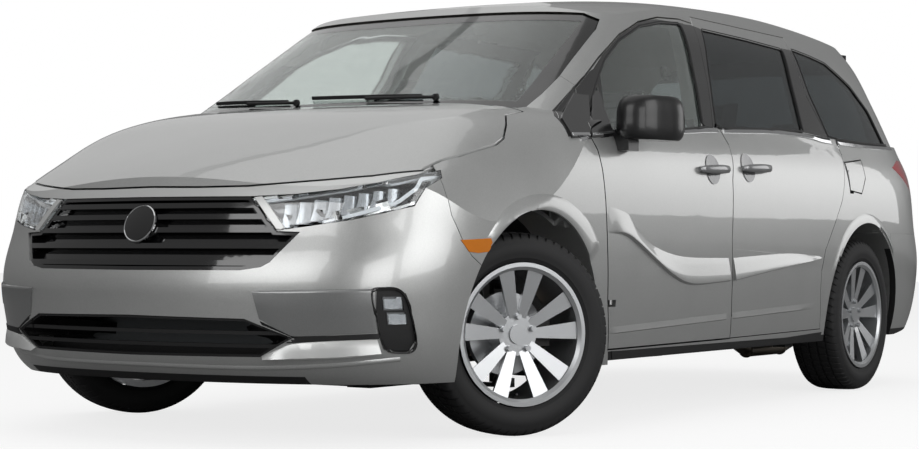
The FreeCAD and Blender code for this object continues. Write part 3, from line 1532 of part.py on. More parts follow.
def front_subframe():
    """The cradle under the engine with the wishbones that hold the knuckles."""
    made = [block(shares) for shares in subframe_shares]
    for side in (-1, 1):
        for sign in (-1, 1):
            if sign > 0:
                low = hub_z + knuckle_lug_top + seat_clearance
            else:
                low = hub_z - knuckle_lug_top - seat_clearance - wishbone_thickness
            inner = wishbone_inner_shares[sign > 0] * buttock
            outline = [
                (wheel_x + knuckle_lug_width / 2, front_axle_y - knuckle_lug_width / 2),
                (wheel_x + knuckle_lug_width / 2, front_axle_y + knuckle_lug_width / 2),
                (wheel_x - wishbone_neck, front_axle_y + knuckle_lug_width / 2),
                (inner, front_axle_y + wishbone_spread),
                (inner, front_axle_y - wishbone_spread),
                (wheel_x - wishbone_neck, front_axle_y - knuckle_lug_width / 2),
            ]
            arm = plan_prism(outline, low, low + wishbone_thickness)
            pin_low = hub_z + sign * knuckle_lug_low if sign > 0 else hub_z - knuckle_lug_top
            pin = Part.makeCylinder(
                ball_radius, knuckle_lug_top - knuckle_lug_low + 2 * seat_clearance,
                Vector(wheel_x, front_axle_y, pin_low - (seat_clearance if sign < 0 else 0)),
            )
            arm = arm.fuse(pin)
            made.append(arm if side > 0 else mirrored(arm))
    for towers in both(block(wishbone_tower_shares)):
        made.append(towers)
    return fused(made)


def rear_suspension():
    """The rear cross member, trailing arms and hub carriers."""
    made = [block(shares) for shares in rear_member_shares]
    for side in (-1, 1):
        stub = rod(
            Vector(side * rear_stub_share * buttock, rear_axle_y, hub_z),
            Vector(side * (wheel_x + disc_inner_x - disc_gap), rear_axle_y, hub_z),
            bearing_radius,
        )
        made.append(stub)
        pin = spindle(0)
        made.append(at_wheel(pin, side, rear_axle_y, 0))
        for shares in rear_arm_shares:
            arm = block(shares)
            made.append(arm if side > 0 else mirrored(arm))
    return fused(made)


def exhaust():
    """The exhaust pipe and its silencer."""
    points = [grid_point(shares) for shares in exhaust_route_shares]
    made = [rod(a, b, exhaust_radius) for a, b in zip(points, points[1:])]
    made += [Part.makeSphere(exhaust_joint_radius, point) for point in points[1:-1]]
    made.append(soft_block(silencer_shares, trim_rounding))
    return fused(made)


def main():
    """Build every node and write it."""
    os.makedirs("parts", exist_ok=True)
    wall = left_wall()
    write("body_shell", body_shell(wall))
    write("front_fenders", *both(left_fender()))
    write("front_bumper", front_bumper())
    write("upper_grille", upper_grille())
    write("upper_bar", upper_bar())
    write("lower_grilles", lower_intake(), *both(fog_pod()))
    write("headlamps", *both(headlamp()))
    write("fog_lamps", *both(fog_lamps()))
    write("windshield", windscreen())
    write("cowl", cowl())
    write("hood", bonnet())
    door, door_pane = front_door(wall)
    slider, slider_pane = sliding_door(wall)
    mirror = mirror_housing().cut(door)
    write("front_door_left", door)
    write("front_door_right", mirrored(door))
    write("front_door_glass_left", door_pane)
    write("front_door_glass_right", mirrored(door_pane))
    write("mirror_left", mirror)
    write("mirror_right", mirrored(mirror))
    write("sliding_door_left", slider)
    write("sliding_door_right", mirrored(slider))
    quarter_pane = glass_pane(side_points(quarter_glass_shares), -seat_clearance)
    write("side_glasses", *both(slider_pane), *both(quarter_pane))
    panel, pane = tailgate(wall)
    write("tailgate", panel)
    write("tailgate_glass", pane)
    write("tail_lamps", *both(tail_lamp()))
    write("rear_bumper", rear_bumper())
    write("fuel_door", fuel_door())
    write("dashboard", dashboard())
    write("steering_wheel", steering_wheel())
    write("front_seats", *[seat(place, front_seat_width_share) for place in front_seat_shares])
    rear_seats = [seat(place, middle_seat_width_share) for place in middle_seat_shares]
    rear_seats.append(seat(rear_seat_place_shares, rear_seat_width_share))
    write("rear_seats", *rear_seats)
    write("engine", fused([soft_block(engine_shares, trim_rounding), block(engine_mount_shares)]))
    write("radiator", block(radiator_shares))
    write("fuel_tank", soft_block(fuel_tank_shares, trim_rounding))
    write("exhaust", exhaust())
    write("front_subframe", front_subframe())
    write("rear_suspension", rear_suspension())
    made_tyre = tyre()
    made_rim = rim()
    made_knuckle = knuckle()
    for place, side, axle_y, turn in (
        ("front_left", 1, front_axle_y, steer_at_rest_degrees),
        ("front_right", -1, front_axle_y, steer_at_rest_degrees),
        ("rear_left", 1, rear_axle_y, 0),
        ("rear_right", -1, rear_axle_y, 0),
    ):
        write("tyre_" + place, at_wheel(made_tyre, side, axle_y, turn))
        write("rim_" + place, at_wheel(made_rim, side, axle_y, turn))
        if turn:
            write("knuckle_" + place, at_wheel(made_knuckle, side, axle_y, turn))


main()
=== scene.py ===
"""A silver seven-seat family van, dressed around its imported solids."""

from __future__ import annotations

import logging
import math
from dataclasses import dataclass, field
from enum import Enum
from typing import Any, Callable, Sequence

import bmesh
import bpy
from mathutils import Matrix, Vector
from mathutils.bvhtree import BVHTree


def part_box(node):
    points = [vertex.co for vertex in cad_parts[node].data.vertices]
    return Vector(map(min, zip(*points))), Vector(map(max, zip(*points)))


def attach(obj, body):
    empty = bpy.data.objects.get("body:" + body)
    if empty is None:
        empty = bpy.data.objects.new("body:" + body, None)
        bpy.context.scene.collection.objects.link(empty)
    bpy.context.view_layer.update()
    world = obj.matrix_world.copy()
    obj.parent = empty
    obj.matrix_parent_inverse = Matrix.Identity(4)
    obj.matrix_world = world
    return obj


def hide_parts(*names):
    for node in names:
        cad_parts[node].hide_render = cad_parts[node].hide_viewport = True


LOG = logging.getLogger("van")
MM = 0.001

Point = tuple[float, float]
Row = list[Vector]


def linear(code: str) -> tuple[float, float, float, float]:
    """Turn an sRGB hex colour into linear light.

    Args:
        code: The colour, such as "#a0a0a0".

    Returns:
        Red, green, blue and a full alpha.
    """
    values = []
    for start in (1, 3, 5):
        part = int(code[start : start + 2], 16) / 255
        values.append(part / 12.92 if part <= 0.04045 else ((part + 0.055) / 1.055) ** 2.4)
    return values[0], values[1], values[2], 1.0


def add_node(
    tree: bpy.types.NodeTree,
    kind: str,
    settings: dict[Any, Any] | None = None,
    links: dict[Any, Any] | None = None,
) -> bpy.types.Node:
    """Add a node with its settings and incoming links.

    Args:
        tree: The node tree.
        kind: The node's type name.
        settings: Node properties, or input values by name or number.
        links: Output sockets, by the name or number of the input that they feed.

    Returns:
        The new node.
    """
    node = tree.nodes.new(kind)
    for name, value in (settings or {}).items():
        if isinstance(name, str) and hasattr(node, name):
            setattr(node, name, value)
        else:
            node.inputs[name].default_value = value
    for name, socket in (links or {}).items():
        tree.links.new(socket, node.inputs[name])
    return node


class Grain(Enum):
    """How a surface was made, which gives its finest pattern."""

    FLAKE = "metal flake under clear lacquer"
    MOULDED = "spark-eroded mould grain"
    CAST = "cast or die-cast skin"
    BRUSHED = "brushed or drawn lines"
    WOVEN = "crossing threads"
    SMOOTH = "polished or gloss moulded"
    RUBBED = "cured rubber"


@dataclass(frozen=True)
class Finish:
    """One real material with its colour, gloss and finest pattern."""

    name: str
    colour: str
    grain: Grain
    grain_mm: float
    roughness: float
    metallic: float = 0.0
    ior: float = 1.5
    coat: float = 0.0
    coat_roughness: float = 0.03
    sheen: float = 0.0
    relief_mm: float = 0.03
    mottle: float = 0.05
    rough_spread: float = 0.06
    clear: float = 0.0


class Measure(Enum):
    """What a bound of a zone is measured by."""

    PLACE = "mirrored place"
    FACING = "mirrored normal"
    OUTWARD = "away from the cabin's middle line"
    AROUND = "distance from a cross-car axis"


@dataclass(frozen=True)
class Bound:
    """One side of a zone: the measure along a direction is at least a value."""

    measure: Measure
    direction: tuple[float, float, float]
    least: float
    blur: float = 0.0012


@dataclass(frozen=True)
class Zone:
    """A part of a surface with another finish, inside all its bounds."""

    finish: Finish
    bounds: tuple[Bound, ...]


def past(direction: tuple[float, float, float], least: float, blur: float = 0.0012) -> Bound:
    """Bound the mirrored place along a direction."""
    return Bound(Measure.PLACE, direction, least, blur)


def facing(direction: tuple[float, float, float], least: float) -> Bound:
    """Bound the mirrored normal along a direction."""
    return Bound(Measure.FACING, direction, least, 0.08)


def inward(least: float = 0.0) -> Bound:
    """Bound to the faces that look at the cabin's middle line."""
    return Bound(Measure.OUTWARD, (0, 0, 0), least, 0.02)


def around(y: float, z: float, radius: float) -> Bound:
    """Bound to the inside of a cylinder across the car."""
    return Bound(Measure.AROUND, (0, y, z), -radius, 0.0012)


class Dresser:
    """Makes each material once, from finishes and zones."""

    def __init__(self) -> None:
        """Start with no material."""
        self.made: dict[Any, bpy.types.Material] = {}

    def pattern(self, tree: bpy.types.NodeTree, finish: Finish, place: Any) -> Any:
        """Draw a finish's finest pattern.

        Args:
            tree: The material's nodes.
            finish: The finish.
            place: The socket that gives the place on the piece.

        Returns:
            A socket with values from 0 to 1.
        """
        scale = 1 / (finish.grain_mm * MM)
        if finish.grain is Grain.FLAKE:
            cells = add_node(tree, "ShaderNodeTexVoronoi", {"Scale": scale}, {"Vector": place})
            return add_node(
                tree, "ShaderNodeSeparateColor", {}, {"Color": cells.outputs["Color"]}
            ).outputs[0]
        if finish.grain is Grain.BRUSHED:
            drawn = add_node(
                tree, "ShaderNodeVectorMath", {"operation": "MULTIPLY", 1: (0.02, 1, 1)}, {0: place}
            )
            lines = {"Scale": scale, "Detail": 2.0}
            return add_node(tree, "ShaderNodeTexNoise", lines, {"Vector": drawn.outputs[0]}).outputs["Fac"]
        if finish.grain is Grain.WOVEN:
            threads = []
            for direction in ("X", "Z"):
                wave = {
                    "Scale": scale / 6.28, "bands_direction": direction, "Distortion": 0.6, "Detail": 1.0
                }
                threads.append(add_node(tree, "ShaderNodeTexWave", wave, {"Vector": place}).outputs["Fac"])
            return add_node(
                tree, "ShaderNodeMath", {"operation": "MULTIPLY"}, {0: threads[0], 1: threads[1]}
            ).outputs[0]
        if finish.grain is Grain.MOULDED:
            cells = {"Scale": scale, "feature": "SMOOTH_F1", "Smoothness": 0.4}
            return add_node(tree, "ShaderNodeTexVoronoi", cells, {"Vector": place}).outputs["Distance"]
        detail = {Grain.CAST: 6.0, Grain.SMOOTH: 1.0, Grain.RUBBED: 4.0}[finish.grain]
        noise = {"Scale": scale, "Detail": detail, "Roughness": 0.6}
        return add_node(tree, "ShaderNodeTexNoise", noise, {"Vector": place}).outputs["Fac"]

    def channels(self, tree: bpy.types.NodeTree, finish: Finish, place: Any) -> dict[str, Any]:
        """Draw colour, roughness and height of one finish.

        Args:
            tree: The material's nodes.
            finish: The finish.
            place: The socket that gives the place on the piece.

        Returns:
            Sockets or plain numbers for each channel.
        """
        fine = self.pattern(tree, finish, place)
        broad = add_node(tree, "ShaderNodeTexNoise", {"Scale": 7.0, "Detail": 3.0}, {"Vector": place})
        blend = add_node(
            tree, "ShaderNodeMix", {"data_type": "FLOAT", "Factor": 0.35}, {
                "A": fine, "B": broad.outputs["Fac"]
            }
        )
        base = linear(finish.colour)
        dark = tuple(min(1.0, part * (1 - finish.mottle)) for part in base[:3]) + (1.0,)
        light = tuple(min(1.0, part * (1 + finish.mottle)) for part in base[:3]) + (1.0,)
        colour = add_node(
            tree, "ShaderNodeMix", {"data_type": "RGBA", 6: dark, 7: light}, {"Factor": blend.outputs[0]}
        )
        low = max(0.0, finish.roughness - finish.rough_spread)
        high = min(1.0, finish.roughness + finish.rough_spread)
        rough = add_node(
            tree, "ShaderNodeMapRange", {"To Min": low, "To Max": high}, {"Value": blend.outputs[0]}
        )
        height = add_node(
            tree, "ShaderNodeMath", {"operation": "MULTIPLY", 1: finish.relief_mm}, {0: fine}
        )
        return {
            "colour": colour.outputs[2],
            "roughness": rough.outputs[0],
            "height": height.outputs[0],
            "metallic": finish.metallic,
            "coat": finish.coat,
        }

    def mask(self, tree: bpy.types.NodeTree, zone: Zone, place: Any) -> Any:
        """Draw where a zone lies.

        Args:
            tree: The material's nodes.
            zone: The zone.
            place: The socket that gives the place on the piece.

        Returns:
            A socket that is 1 inside the zone and 0 outside it.
        """
        parts = add_node(tree, "ShaderNodeSeparateXYZ", {}, {0: place}).outputs
        side = add_node(tree, "ShaderNodeMath", {"operation": "SIGN"}, {0: parts[0]}).outputs[0]
        far = add_node(tree, "ShaderNodeMath", {"operation": "ABSOLUTE"}, {0: parts[0]}).outputs[0]
        mirrored = add_node(tree, "ShaderNodeCombineXYZ", {}, {0: far, 1: parts[1], 2: parts[2]}).outputs[0]
        normal = add_node(tree, "ShaderNodeTexCoord").outputs["Normal"]
        bits = add_node(tree, "ShaderNodeSeparateXYZ", {}, {0: normal}).outputs
        turned = add_node(
            tree, "ShaderNodeMath", {"operation": "MULTIPLY"}, {0: bits[0], 1: side}
        ).outputs[0]
        look = add_node(tree, "ShaderNodeCombineXYZ", {}, {0: turned, 1: bits[1], 2: bits[2]}).outputs[0]
        inside = None
        for bound in zone.bounds:
            dot = {"operation": "DOT_PRODUCT", 1: bound.direction}
            if bound.measure is Measure.PLACE:
                value = add_node(tree, "ShaderNodeVectorMath", dot, {0: mirrored}).outputs["Value"]
            elif bound.measure is Measure.FACING:
                value = add_node(tree, "ShaderNodeVectorMath", dot, {0: look}).outputs["Value"]
            elif bound.measure is Measure.OUTWARD:
                offset = {"operation": "SUBTRACT", 1: (0.0, 0.0, 0.95)}
                from_line = add_node(tree, "ShaderNodeVectorMath", offset, {0: mirrored}).outputs[0]
                flat = {"operation": "MULTIPLY", 1: (-1.0, 0.0, -1.0)}
                inwards = add_node(tree, "ShaderNodeVectorMath", flat, {0: from_line}).outputs[0]
                value = add_node(
                    tree, "ShaderNodeVectorMath", {"operation": "DOT_PRODUCT"}, {0: inwards, 1: look}
                ).outputs["Value"]
            else:
                offset = {"operation": "SUBTRACT", 1: bound.direction}
                from_axis = add_node(tree, "ShaderNodeVectorMath", offset, {0: mirrored}).outputs[0]
                flat = {"operation": "MULTIPLY", 1: (0.0, 1.0, 1.0)}
                across = add_node(tree, "ShaderNodeVectorMath", flat, {0: from_axis}).outputs[0]
                long = add_node(tree, "ShaderNodeVectorMath", {"operation": "LENGTH"}, {0: across})
                value = add_node(
                    tree, "ShaderNodeMath", {"operation": "MULTIPLY", 1: -1.0}, {0: long.outputs["Value"]}
                ).outputs[0]
            soft = add_node(
                tree,
                "ShaderNodeMapRange",
                {"From Min": bound.least, "From Max": bound.least + bound.blur},
                {"Value": value},
            ).outputs[0]
            if inside is None:
                inside = soft
            else:
                inside = add_node(
                    tree, "ShaderNodeMath", {"operation": "MINIMUM"}, {0: inside, 1: soft}
                ).outputs[0]
        return inside

    def material(self, finish: Finish, zones: Sequence[Zone] = ()) -> bpy.types.Material:
        """Make, or find, the material of a finish with its zones.

        Args:
            finish: The main finish.
            zones: Zones with other finishes; a later one lies over an earlier one.

        Returns:
            The material.
        """
        key = (finish.name, tuple(zones))
        if key in self.made:
            return self.made[key]
        material = bpy.data.materials.new(finish.name)
        material.use_nodes = True
        tree = material.node_tree
        tree.nodes.clear()
        place = add_node(tree, "ShaderNodeTexCoord").outputs["Object"]
        now = self.channels(tree, finish, place)
        drawn = {finish.name: dict(now)}
        for zone in zones:
            if zone.finish.name not in drawn:
                drawn[zone.finish.name] = self.channels(tree, zone.finish, place)
            other = drawn[zone.finish.name]
            where = self.mask(tree, zone, place)
            for channel in ("colour", "roughness", "height", "metallic", "coat"):
                rgba = channel == "colour"
                settings: dict[Any, Any] = {"data_type": "RGBA" if rgba else "FLOAT"}
                links: dict[Any, Any] = {0: where}
                for index, value in ((6 if rgba else 2, now[channel]), (7 if rgba else 3, other[channel])):
                    (settings if isinstance(value, float) else links)[index] = value
                mix = add_node(tree, "ShaderNodeMix", settings, links)
                now[channel] = mix.outputs[2 if rgba else 0]
        bump = add_node(
            tree, "ShaderNodeBump", {"Distance": MM, "Strength": 1.0}, {"Height": now["height"]}
        )
        constants: dict[Any, Any] = {
            "IOR": finish.ior,
            "Coat Roughness": finish.coat_roughness,
            "Sheen Weight": finish.sheen,
            "Transmission Weight": finish.clear,
        }
        wired = {"Base Color": now["colour"], "Roughness": now["roughness"], "Normal": bump.outputs[0]}
        for name, channel in (("Metallic", "metallic"), ("Coat Weight", "coat")):
            (constants if isinstance(now[channel], float) else wired)[name] = now[channel]
        shader = add_node(tree, "ShaderNodeBsdfPrincipled", constants, wired)
        add_node(tree, "ShaderNodeOutputMaterial", {}, {"Surface": shader.outputs[0]})
        self.made[key] = material
        return material


# Two-layer silver paint: aluminium flake gives the soft sparkle, the lacquer the sharp reflections.
SILVER_PAINT = Finish(
    "silver_flake_paint", "#b9bab9", Grain.FLAKE, 1.6, 0.36, 0.72, coat=1.0, relief_mm=0.004, mottle=0.10
)
# The same silver paint, darkened as painted shade, for the bumper's recessed faces that look down at the
# dark ground.
SILVER_WITH_PAINTED_SHADE = Finish(
    "silver_paint_with_painted_shade", "#8e8f8f", Grain.FLAKE, 1.6, 0.36, 0.72, coat=1.0, relief_mm=0.004, mottle=0.10
)
# Primed steel inside the closed panels: flat and slightly uneven.
PRIMED_STEEL = Finish("primed_steel", "#8b8d8e", Grain.CAST, 6.0, 0.55, 0.0, relief_mm=0.03)
# Gloss-black moulded ABS, used at grille, pillars and mirrors: deep and mirror-like.
BLACK_GLOSS = Finish(
    "gloss_black_abs", "#0b0b0c", Grain.SMOOTH, 9.0, 0.10, coat=1.0, relief_mm=0.002, rough_spread=0.03
)
# Fine-textured black mirror caps, softer than the gloss trim.
MIRROR_BLACK = Finish(
    "textured_mirror_cap", "#111112", Grain.MOULDED, 1.0, 0.34, coat=0.25, relief_mm=0.006,
    rough_spread=0.03
)
# Grained polypropylene of liners and lower edges: dull black with a fine mould grain.
BLACK_PLASTIC = Finish("grained_polypropylene", "#161617", Grain.MOULDED, 1.2, 0.60, relief_mm=0.06)
# Sprayed underbody coating: coarse and matt.
UNDERBODY = Finish("underbody_coating", "#1b1b1c", Grain.CAST, 5.0, 0.85, relief_mm=0.25)
# Satin chrome on moulded trim: bright with a soft edge to its reflections.
SATIN_CHROME = Finish("satin_chrome", "#c9cac9", Grain.BRUSHED, 0.6, 0.20, 1.0, relief_mm=0.002)
# Satin-silver moulded trim under lacquer, evenly bright.
SATIN_TRIM = Finish(
    "satin_silver_trim", "#d2d3d2", Grain.BRUSHED, 0.6, 0.34, 0.45, coat=0.4, relief_mm=0.002
)
BRIGHT_CHROME = Finish(
    "bright_chrome", "#d8d9da", Grain.SMOOTH, 6.0, 0.07, 1.0, relief_mm=0.001, rough_spread=0.02
)
# Laminated and toughened glass: clear in front, dyed dark at the rear.
CLEAR_GLASS = Finish(
    "laminated_glass", "#d3dad7", Grain.SMOOTH, 60.0, 0.02, ior=1.52, clear=1.0, relief_mm=0.001,
    rough_spread=0.01
)
DARK_GLASS = Finish(
    "dyed_toughened_glass", "#5d6466", Grain.SMOOTH, 60.0, 0.02, ior=1.52, clear=1.0, relief_mm=0.001,
    rough_spread=0.01
)
# Ceramic edge print on the glass: black enamel, half matt.
GLASS_PRINT = Finish("ceramic_glass_print", "#070708", Grain.SMOOTH, 4.0, 0.16, coat=1.0, relief_mm=0.001)
# Hard-coated polycarbonate lamp lens.
LAMP_LENS = Finish(
    "polycarbonate_lens", "#f6f8f9", Grain.SMOOTH, 30.0, 0.02, ior=1.58, clear=1.0, relief_mm=0.001,
    rough_spread=0.01
)
RED_LENS = Finish(
    "red_acrylic_lens", "#c3202c", Grain.SMOOTH, 12.0, 0.06, ior=1.49, coat=1.0, relief_mm=0.004
)
AMBER_LENS = Finish(
    "amber_acrylic_lens", "#e58413", Grain.SMOOTH, 6.0, 0.10, ior=1.49, coat=1.0, clear=0.2, relief_mm=0.02
)
# Vacuum-aluminised reflectors and bezels inside the lamps.
REFLECTOR = Finish("aluminised_reflector", "#9da0a3", Grain.SMOOTH, 3.0, 0.22, 1.0, relief_mm=0.02)
LIGHT_GUIDE = Finish("light_guide_acrylic", "#f4f8ff", Grain.SMOOTH, 2.0, 0.15, ior=1.49, relief_mm=0.02)
# Painted door handles, a shade darker than the doors, and the cups behind them in body paint darkened as
# painted shade.
HANDLE_GREY = Finish(
    "painted_grey_handle", "#8a8b8c", Grain.FLAKE, 1.6, 0.34, 0.6, coat=1.0, relief_mm=0.004
)
CUP_PAINTED_SHADE = Finish("cup_paint_with_painted_shade", "#58595b", Grain.FLAKE, 1.6, 0.30, 0.6, coat=1.0, relief_mm=0.004)
# Seat cloth, drawn at twice its thread spacing so that the weave shows.
SEAT_CLOTH = Finish(
    "woven_seat_cloth", "#4a4b4e", Grain.WOVEN, 2.4, 0.92, sheen=0.4, relief_mm=0.25, mottle=0.30
)
SEAT_LEATHER = Finish(
    "seat_side_vinyl", "#3a3a3d", Grain.MOULDED, 1.8, 0.55, sheen=0.1, relief_mm=0.10, mottle=0.10
)
HEADLINER = Finish(
    "knitted_headliner", "#b6b4ae", Grain.WOVEN, 1.6, 0.95, sheen=0.3, relief_mm=0.08, mottle=0.12
)
CARPET = Finish("tufted_carpet", "#1d1d1f", Grain.CAST, 2.2, 1.0, sheen=0.3, relief_mm=0.9, mottle=0.35)
DASH_PLASTIC = Finish("soft_dash_skin", "#1c1c1f", Grain.MOULDED, 1.4, 0.62, relief_mm=0.08)
DISPLAY = Finish("display_glass", "#050608", Grain.SMOOTH, 8.0, 0.06, coat=1.0, relief_mm=0.001)
# Carbon-black tyre rubber: deep grey with a faint bloom.
TYRE_RUBBER = Finish("tyre_rubber", "#1a1a1b", Grain.RUBBED, 3.0, 0.68, relief_mm=0.08, mottle=0.18)
# Lacquered cast alloy of the rims.
RIM_ALLOY = Finish(
    "lacquered_cast_alloy", "#c3c5c7", Grain.CAST, 1.4, 0.30, 0.85, coat=0.8, relief_mm=0.006, mottle=0.05
)
CAST_IRON = Finish("cast_iron", "#4b4a49", Grain.CAST, 2.5, 0.62, 0.7, relief_mm=0.20, mottle=0.2)
BARE_STEEL = Finish("turned_steel", "#8f9092", Grain.BRUSHED, 0.8, 0.32, 1.0, relief_mm=0.01)
EXHAUST_STEEL = Finish(
    "heat_tinted_steel", "#7d7468", Grain.BRUSHED, 1.5, 0.38, 1.0, relief_mm=0.02, mottle=0.25
)
TANK_PLASTIC = Finish("blow_moulded_tank", "#232324", Grain.CAST, 4.0, 0.55, relief_mm=0.1)
CORE_ALLOY = Finish("brazed_core", "#6f7274", Grain.BRUSHED, 1.6, 0.45, 0.9, relief_mm=0.3)

FRONT_HUB = (-1.596, 0.352)
REAR_HUB = (1.404, 0.352)
STEERED_DEGREES = -29.3

LEFT_WALL = inward(0.004)
CABIN_LINING = Zone(DASH_PLASTIC, (LEFT_WALL,))
ARCHES = (
    Zone(BLACK_PLASTIC, (around(FRONT_HUB[0], FRONT_HUB[1], 0.426),)),
    Zone(BLACK_PLASTIC, (around(REAR_HUB[0], REAR_HUB[1], 0.421),)),
)
ROCKER = Zone(BLACK_PLASTIC, (past((0, 0, -1), -0.272),))


def strip_zone(finish: Finish, corners: Sequence[Point], *more: Bound) -> Zone:
    """Zone inside a convex outline in the side view.

    Args:
        finish: Its finish.
        corners: The outline's corners as y and z, going round.
        more: Further bounds.

    Returns:
        The zone.
    """
    area = sum(a[0] * b[1] - b[0] * a[1] for a, b in zip(corners, [*corners[1:], corners[0]]))
    turn = 1.0 if area > 0 else -1.0
    bounds = []
    for start, end in zip(corners, [*corners[1:], corners[0]]):
        run = Vector((end[0] - start[0], end[1] - start[1])).normalized()
        normal = (0.0, -run.y * turn, run.x * turn)
        bounds.append(past(normal, normal[1] * start[0] + normal[2] * start[1]))
    return Zone(finish, (*bounds, *more))


OUTSIDE = Bound(Measure.FACING, (1, 0, 0.2), 0.2, 0.05)
SAIL_BLACK = strip_zone(
    BLACK_GLOSS, (
        (-1.325, 1.046), (-0.950, 1.068), (-0.787, 1.372), (-0.981, 1.292), (-1.300, 1.125)
    ), OUTSIDE
)
FRAME_BLACK = strip_zone(
    BLACK_GLOSS,
    (
        (-1.140, 1.100), (-0.150, 1.130), (0.060, 1.600), (-0.200, 1.592), (-0.420, 1.556), (-0.640, 1.478),
        (-0.880, 1.335)
    ),
    OUTSIDE,
)
SCREEN_PRINT = (
    Zone(GLASS_PRINT, (past((0, 0, 1), 1.530),)),
    Zone(GLASS_PRINT, (past((0, 0, -1), -1.180),)),
    Zone(GLASS_PRINT, (past((0.982, 0, 0.189), 0.950),)),
)
FRONT_PILLAR_BLACK = strip_zone(
    BLACK_GLOSS, ((-0.150, 1.145), (0.055, 1.140), (0.155, 1.600), (0.020, 1.596)), OUTSIDE
)
SLIDER_PILLAR_BLACK = strip_zone(
    BLACK_GLOSS, ((-0.060, 1.150), (-0.010, 1.150), (0.225, 1.590), (0.140, 1.600)), OUTSIDE
)
REAR_PILLAR_BLACK = strip_zone(
    BLACK_GLOSS, ((0.900, 1.180), (1.205, 1.166), (1.170, 1.580), (1.035, 1.580)), OUTSIDE
)

CAD_DRESS: dict[str, tuple[Finish, tuple[Zone, ...]]] = {
    "body_shell": (
        SILVER_PAINT,
        (
            CABIN_LINING,
            Zone(HEADLINER, (LEFT_WALL, past((0, 0, 1), 1.42))),
            Zone(CARPET, (past((0, 0, -1), -0.42), facing((0, 0, 1), 0.7), past((0, 1, 0), -1.25))),
            Zone(UNDERBODY, (past((0, 0, -1), -0.40), facing((0, 0, -1), 0.3))),
            ROCKER,
            REAR_PILLAR_BLACK,
            SAIL_BLACK,
            Zone(BLACK_PLASTIC, (past((0, -1, 0), 1.30), past((-1, 0, 0), -0.80))),
            *ARCHES,
        ),
    ),
    "front_fenders": (SILVER_PAINT, (Zone(PRIMED_STEEL, (LEFT_WALL,)), SAIL_BLACK, *ARCHES)),
    "front_bumper": (
        SILVER_PAINT,
        (
            Zone(BLACK_PLASTIC, (facing((0, 1, 0), 0.35),)),
            Zone(BLACK_PLASTIC, (past((0, 0, -1), -0.232), past((-1, 0, 0), -0.60))),
            *ARCHES,
        ),
    ),
    "upper_grille": (BLACK_GLOSS, (Zone(BLACK_PLASTIC, (past((0, 1, 0), -2.40),)),)),
    "upper_bar": (SATIN_TRIM, ()),
    "lower_grilles": (BLACK_PLASTIC, ()),
    "headlamps": (LAMP_LENS, ()),
    "fog_lamps": (REFLECTOR, ()),
    "windshield": (CLEAR_GLASS, SCREEN_PRINT),
    "cowl": (BLACK_PLASTIC, ()),
    "hood": (SILVER_PAINT, (Zone(PRIMED_STEEL, (facing((0, 0, -1), 0.25),)),)),
    "front_door_left": (SILVER_PAINT, (CABIN_LINING, ROCKER, FRONT_PILLAR_BLACK, SAIL_BLACK, FRAME_BLACK)),
    "front_door_right": (SILVER_PAINT, (CABIN_LINING, ROCKER, FRONT_PILLAR_BLACK, SAIL_BLACK, FRAME_BLACK)),
    "front_door_glass_left": (CLEAR_GLASS, ()),
    "front_door_glass_right": (CLEAR_GLASS, ()),
    "mirror_left": (MIRROR_BLACK, ()),
    "mirror_right": (MIRROR_BLACK, ()),
    "sliding_door_left": (SILVER_PAINT, (CABIN_LINING, ROCKER, SLIDER_PILLAR_BLACK, REAR_PILLAR_BLACK)),
    "sliding_door_right": (SILVER_PAINT, (CABIN_LINING, ROCKER, SLIDER_PILLAR_BLACK, REAR_PILLAR_BLACK)),
    "side_glasses": (DARK_GLASS, ()),
    "tailgate": (SILVER_PAINT, (Zone(DASH_PLASTIC, (facing((0, -1, 0), 0.3),)),)),
    "tailgate_glass": (DARK_GLASS, ()),
    "tail_lamps": (RED_LENS, ()),
    "rear_bumper": (
        SILVER_PAINT,
        (
            Zone(BLACK_PLASTIC, (past((0, 0, -1), -0.275),)),
            Zone(BLACK_PLASTIC, (facing((0, -1, 0), 0.35),)), *ARCHES
        )
    ),
    "fuel_door": (SILVER_PAINT, (Zone(PRIMED_STEEL, (LEFT_WALL,)),)),
    "dashboard": (DASH_PLASTIC, ()),
    "steering_wheel": (SEAT_LEATHER, ()),
    "front_seats": (SEAT_CLOTH, ()),
    "rear_seats": (SEAT_CLOTH, ()),
    "engine": (CAST_IRON, ()),
    "radiator": (CORE_ALLOY, ()),
    "fuel_tank": (TANK_PLASTIC, ()),
    "exhaust": (EXHAUST_STEEL, ()),
    "front_subframe": (UNDERBODY, ()),
    "rear_suspension": (UNDERBODY, ()),
    "tyre_front_left": (TYRE_RUBBER, ()),
    "tyre_front_right": (TYRE_RUBBER, ()),
    "tyre_rear_left": (TYRE_RUBBER, ()),
    "tyre_rear_right": (TYRE_RUBBER, ()),
    "rim_front_left": (RIM_ALLOY, ()),
    "rim_front_right": (RIM_ALLOY, ()),
    "rim_rear_left": (RIM_ALLOY, ()),
    "rim_rear_right": (RIM_ALLOY, ()),
    "knuckle_front_left": (CAST_IRON, ()),
    "knuckle_front_right": (CAST_IRON, ()),
}


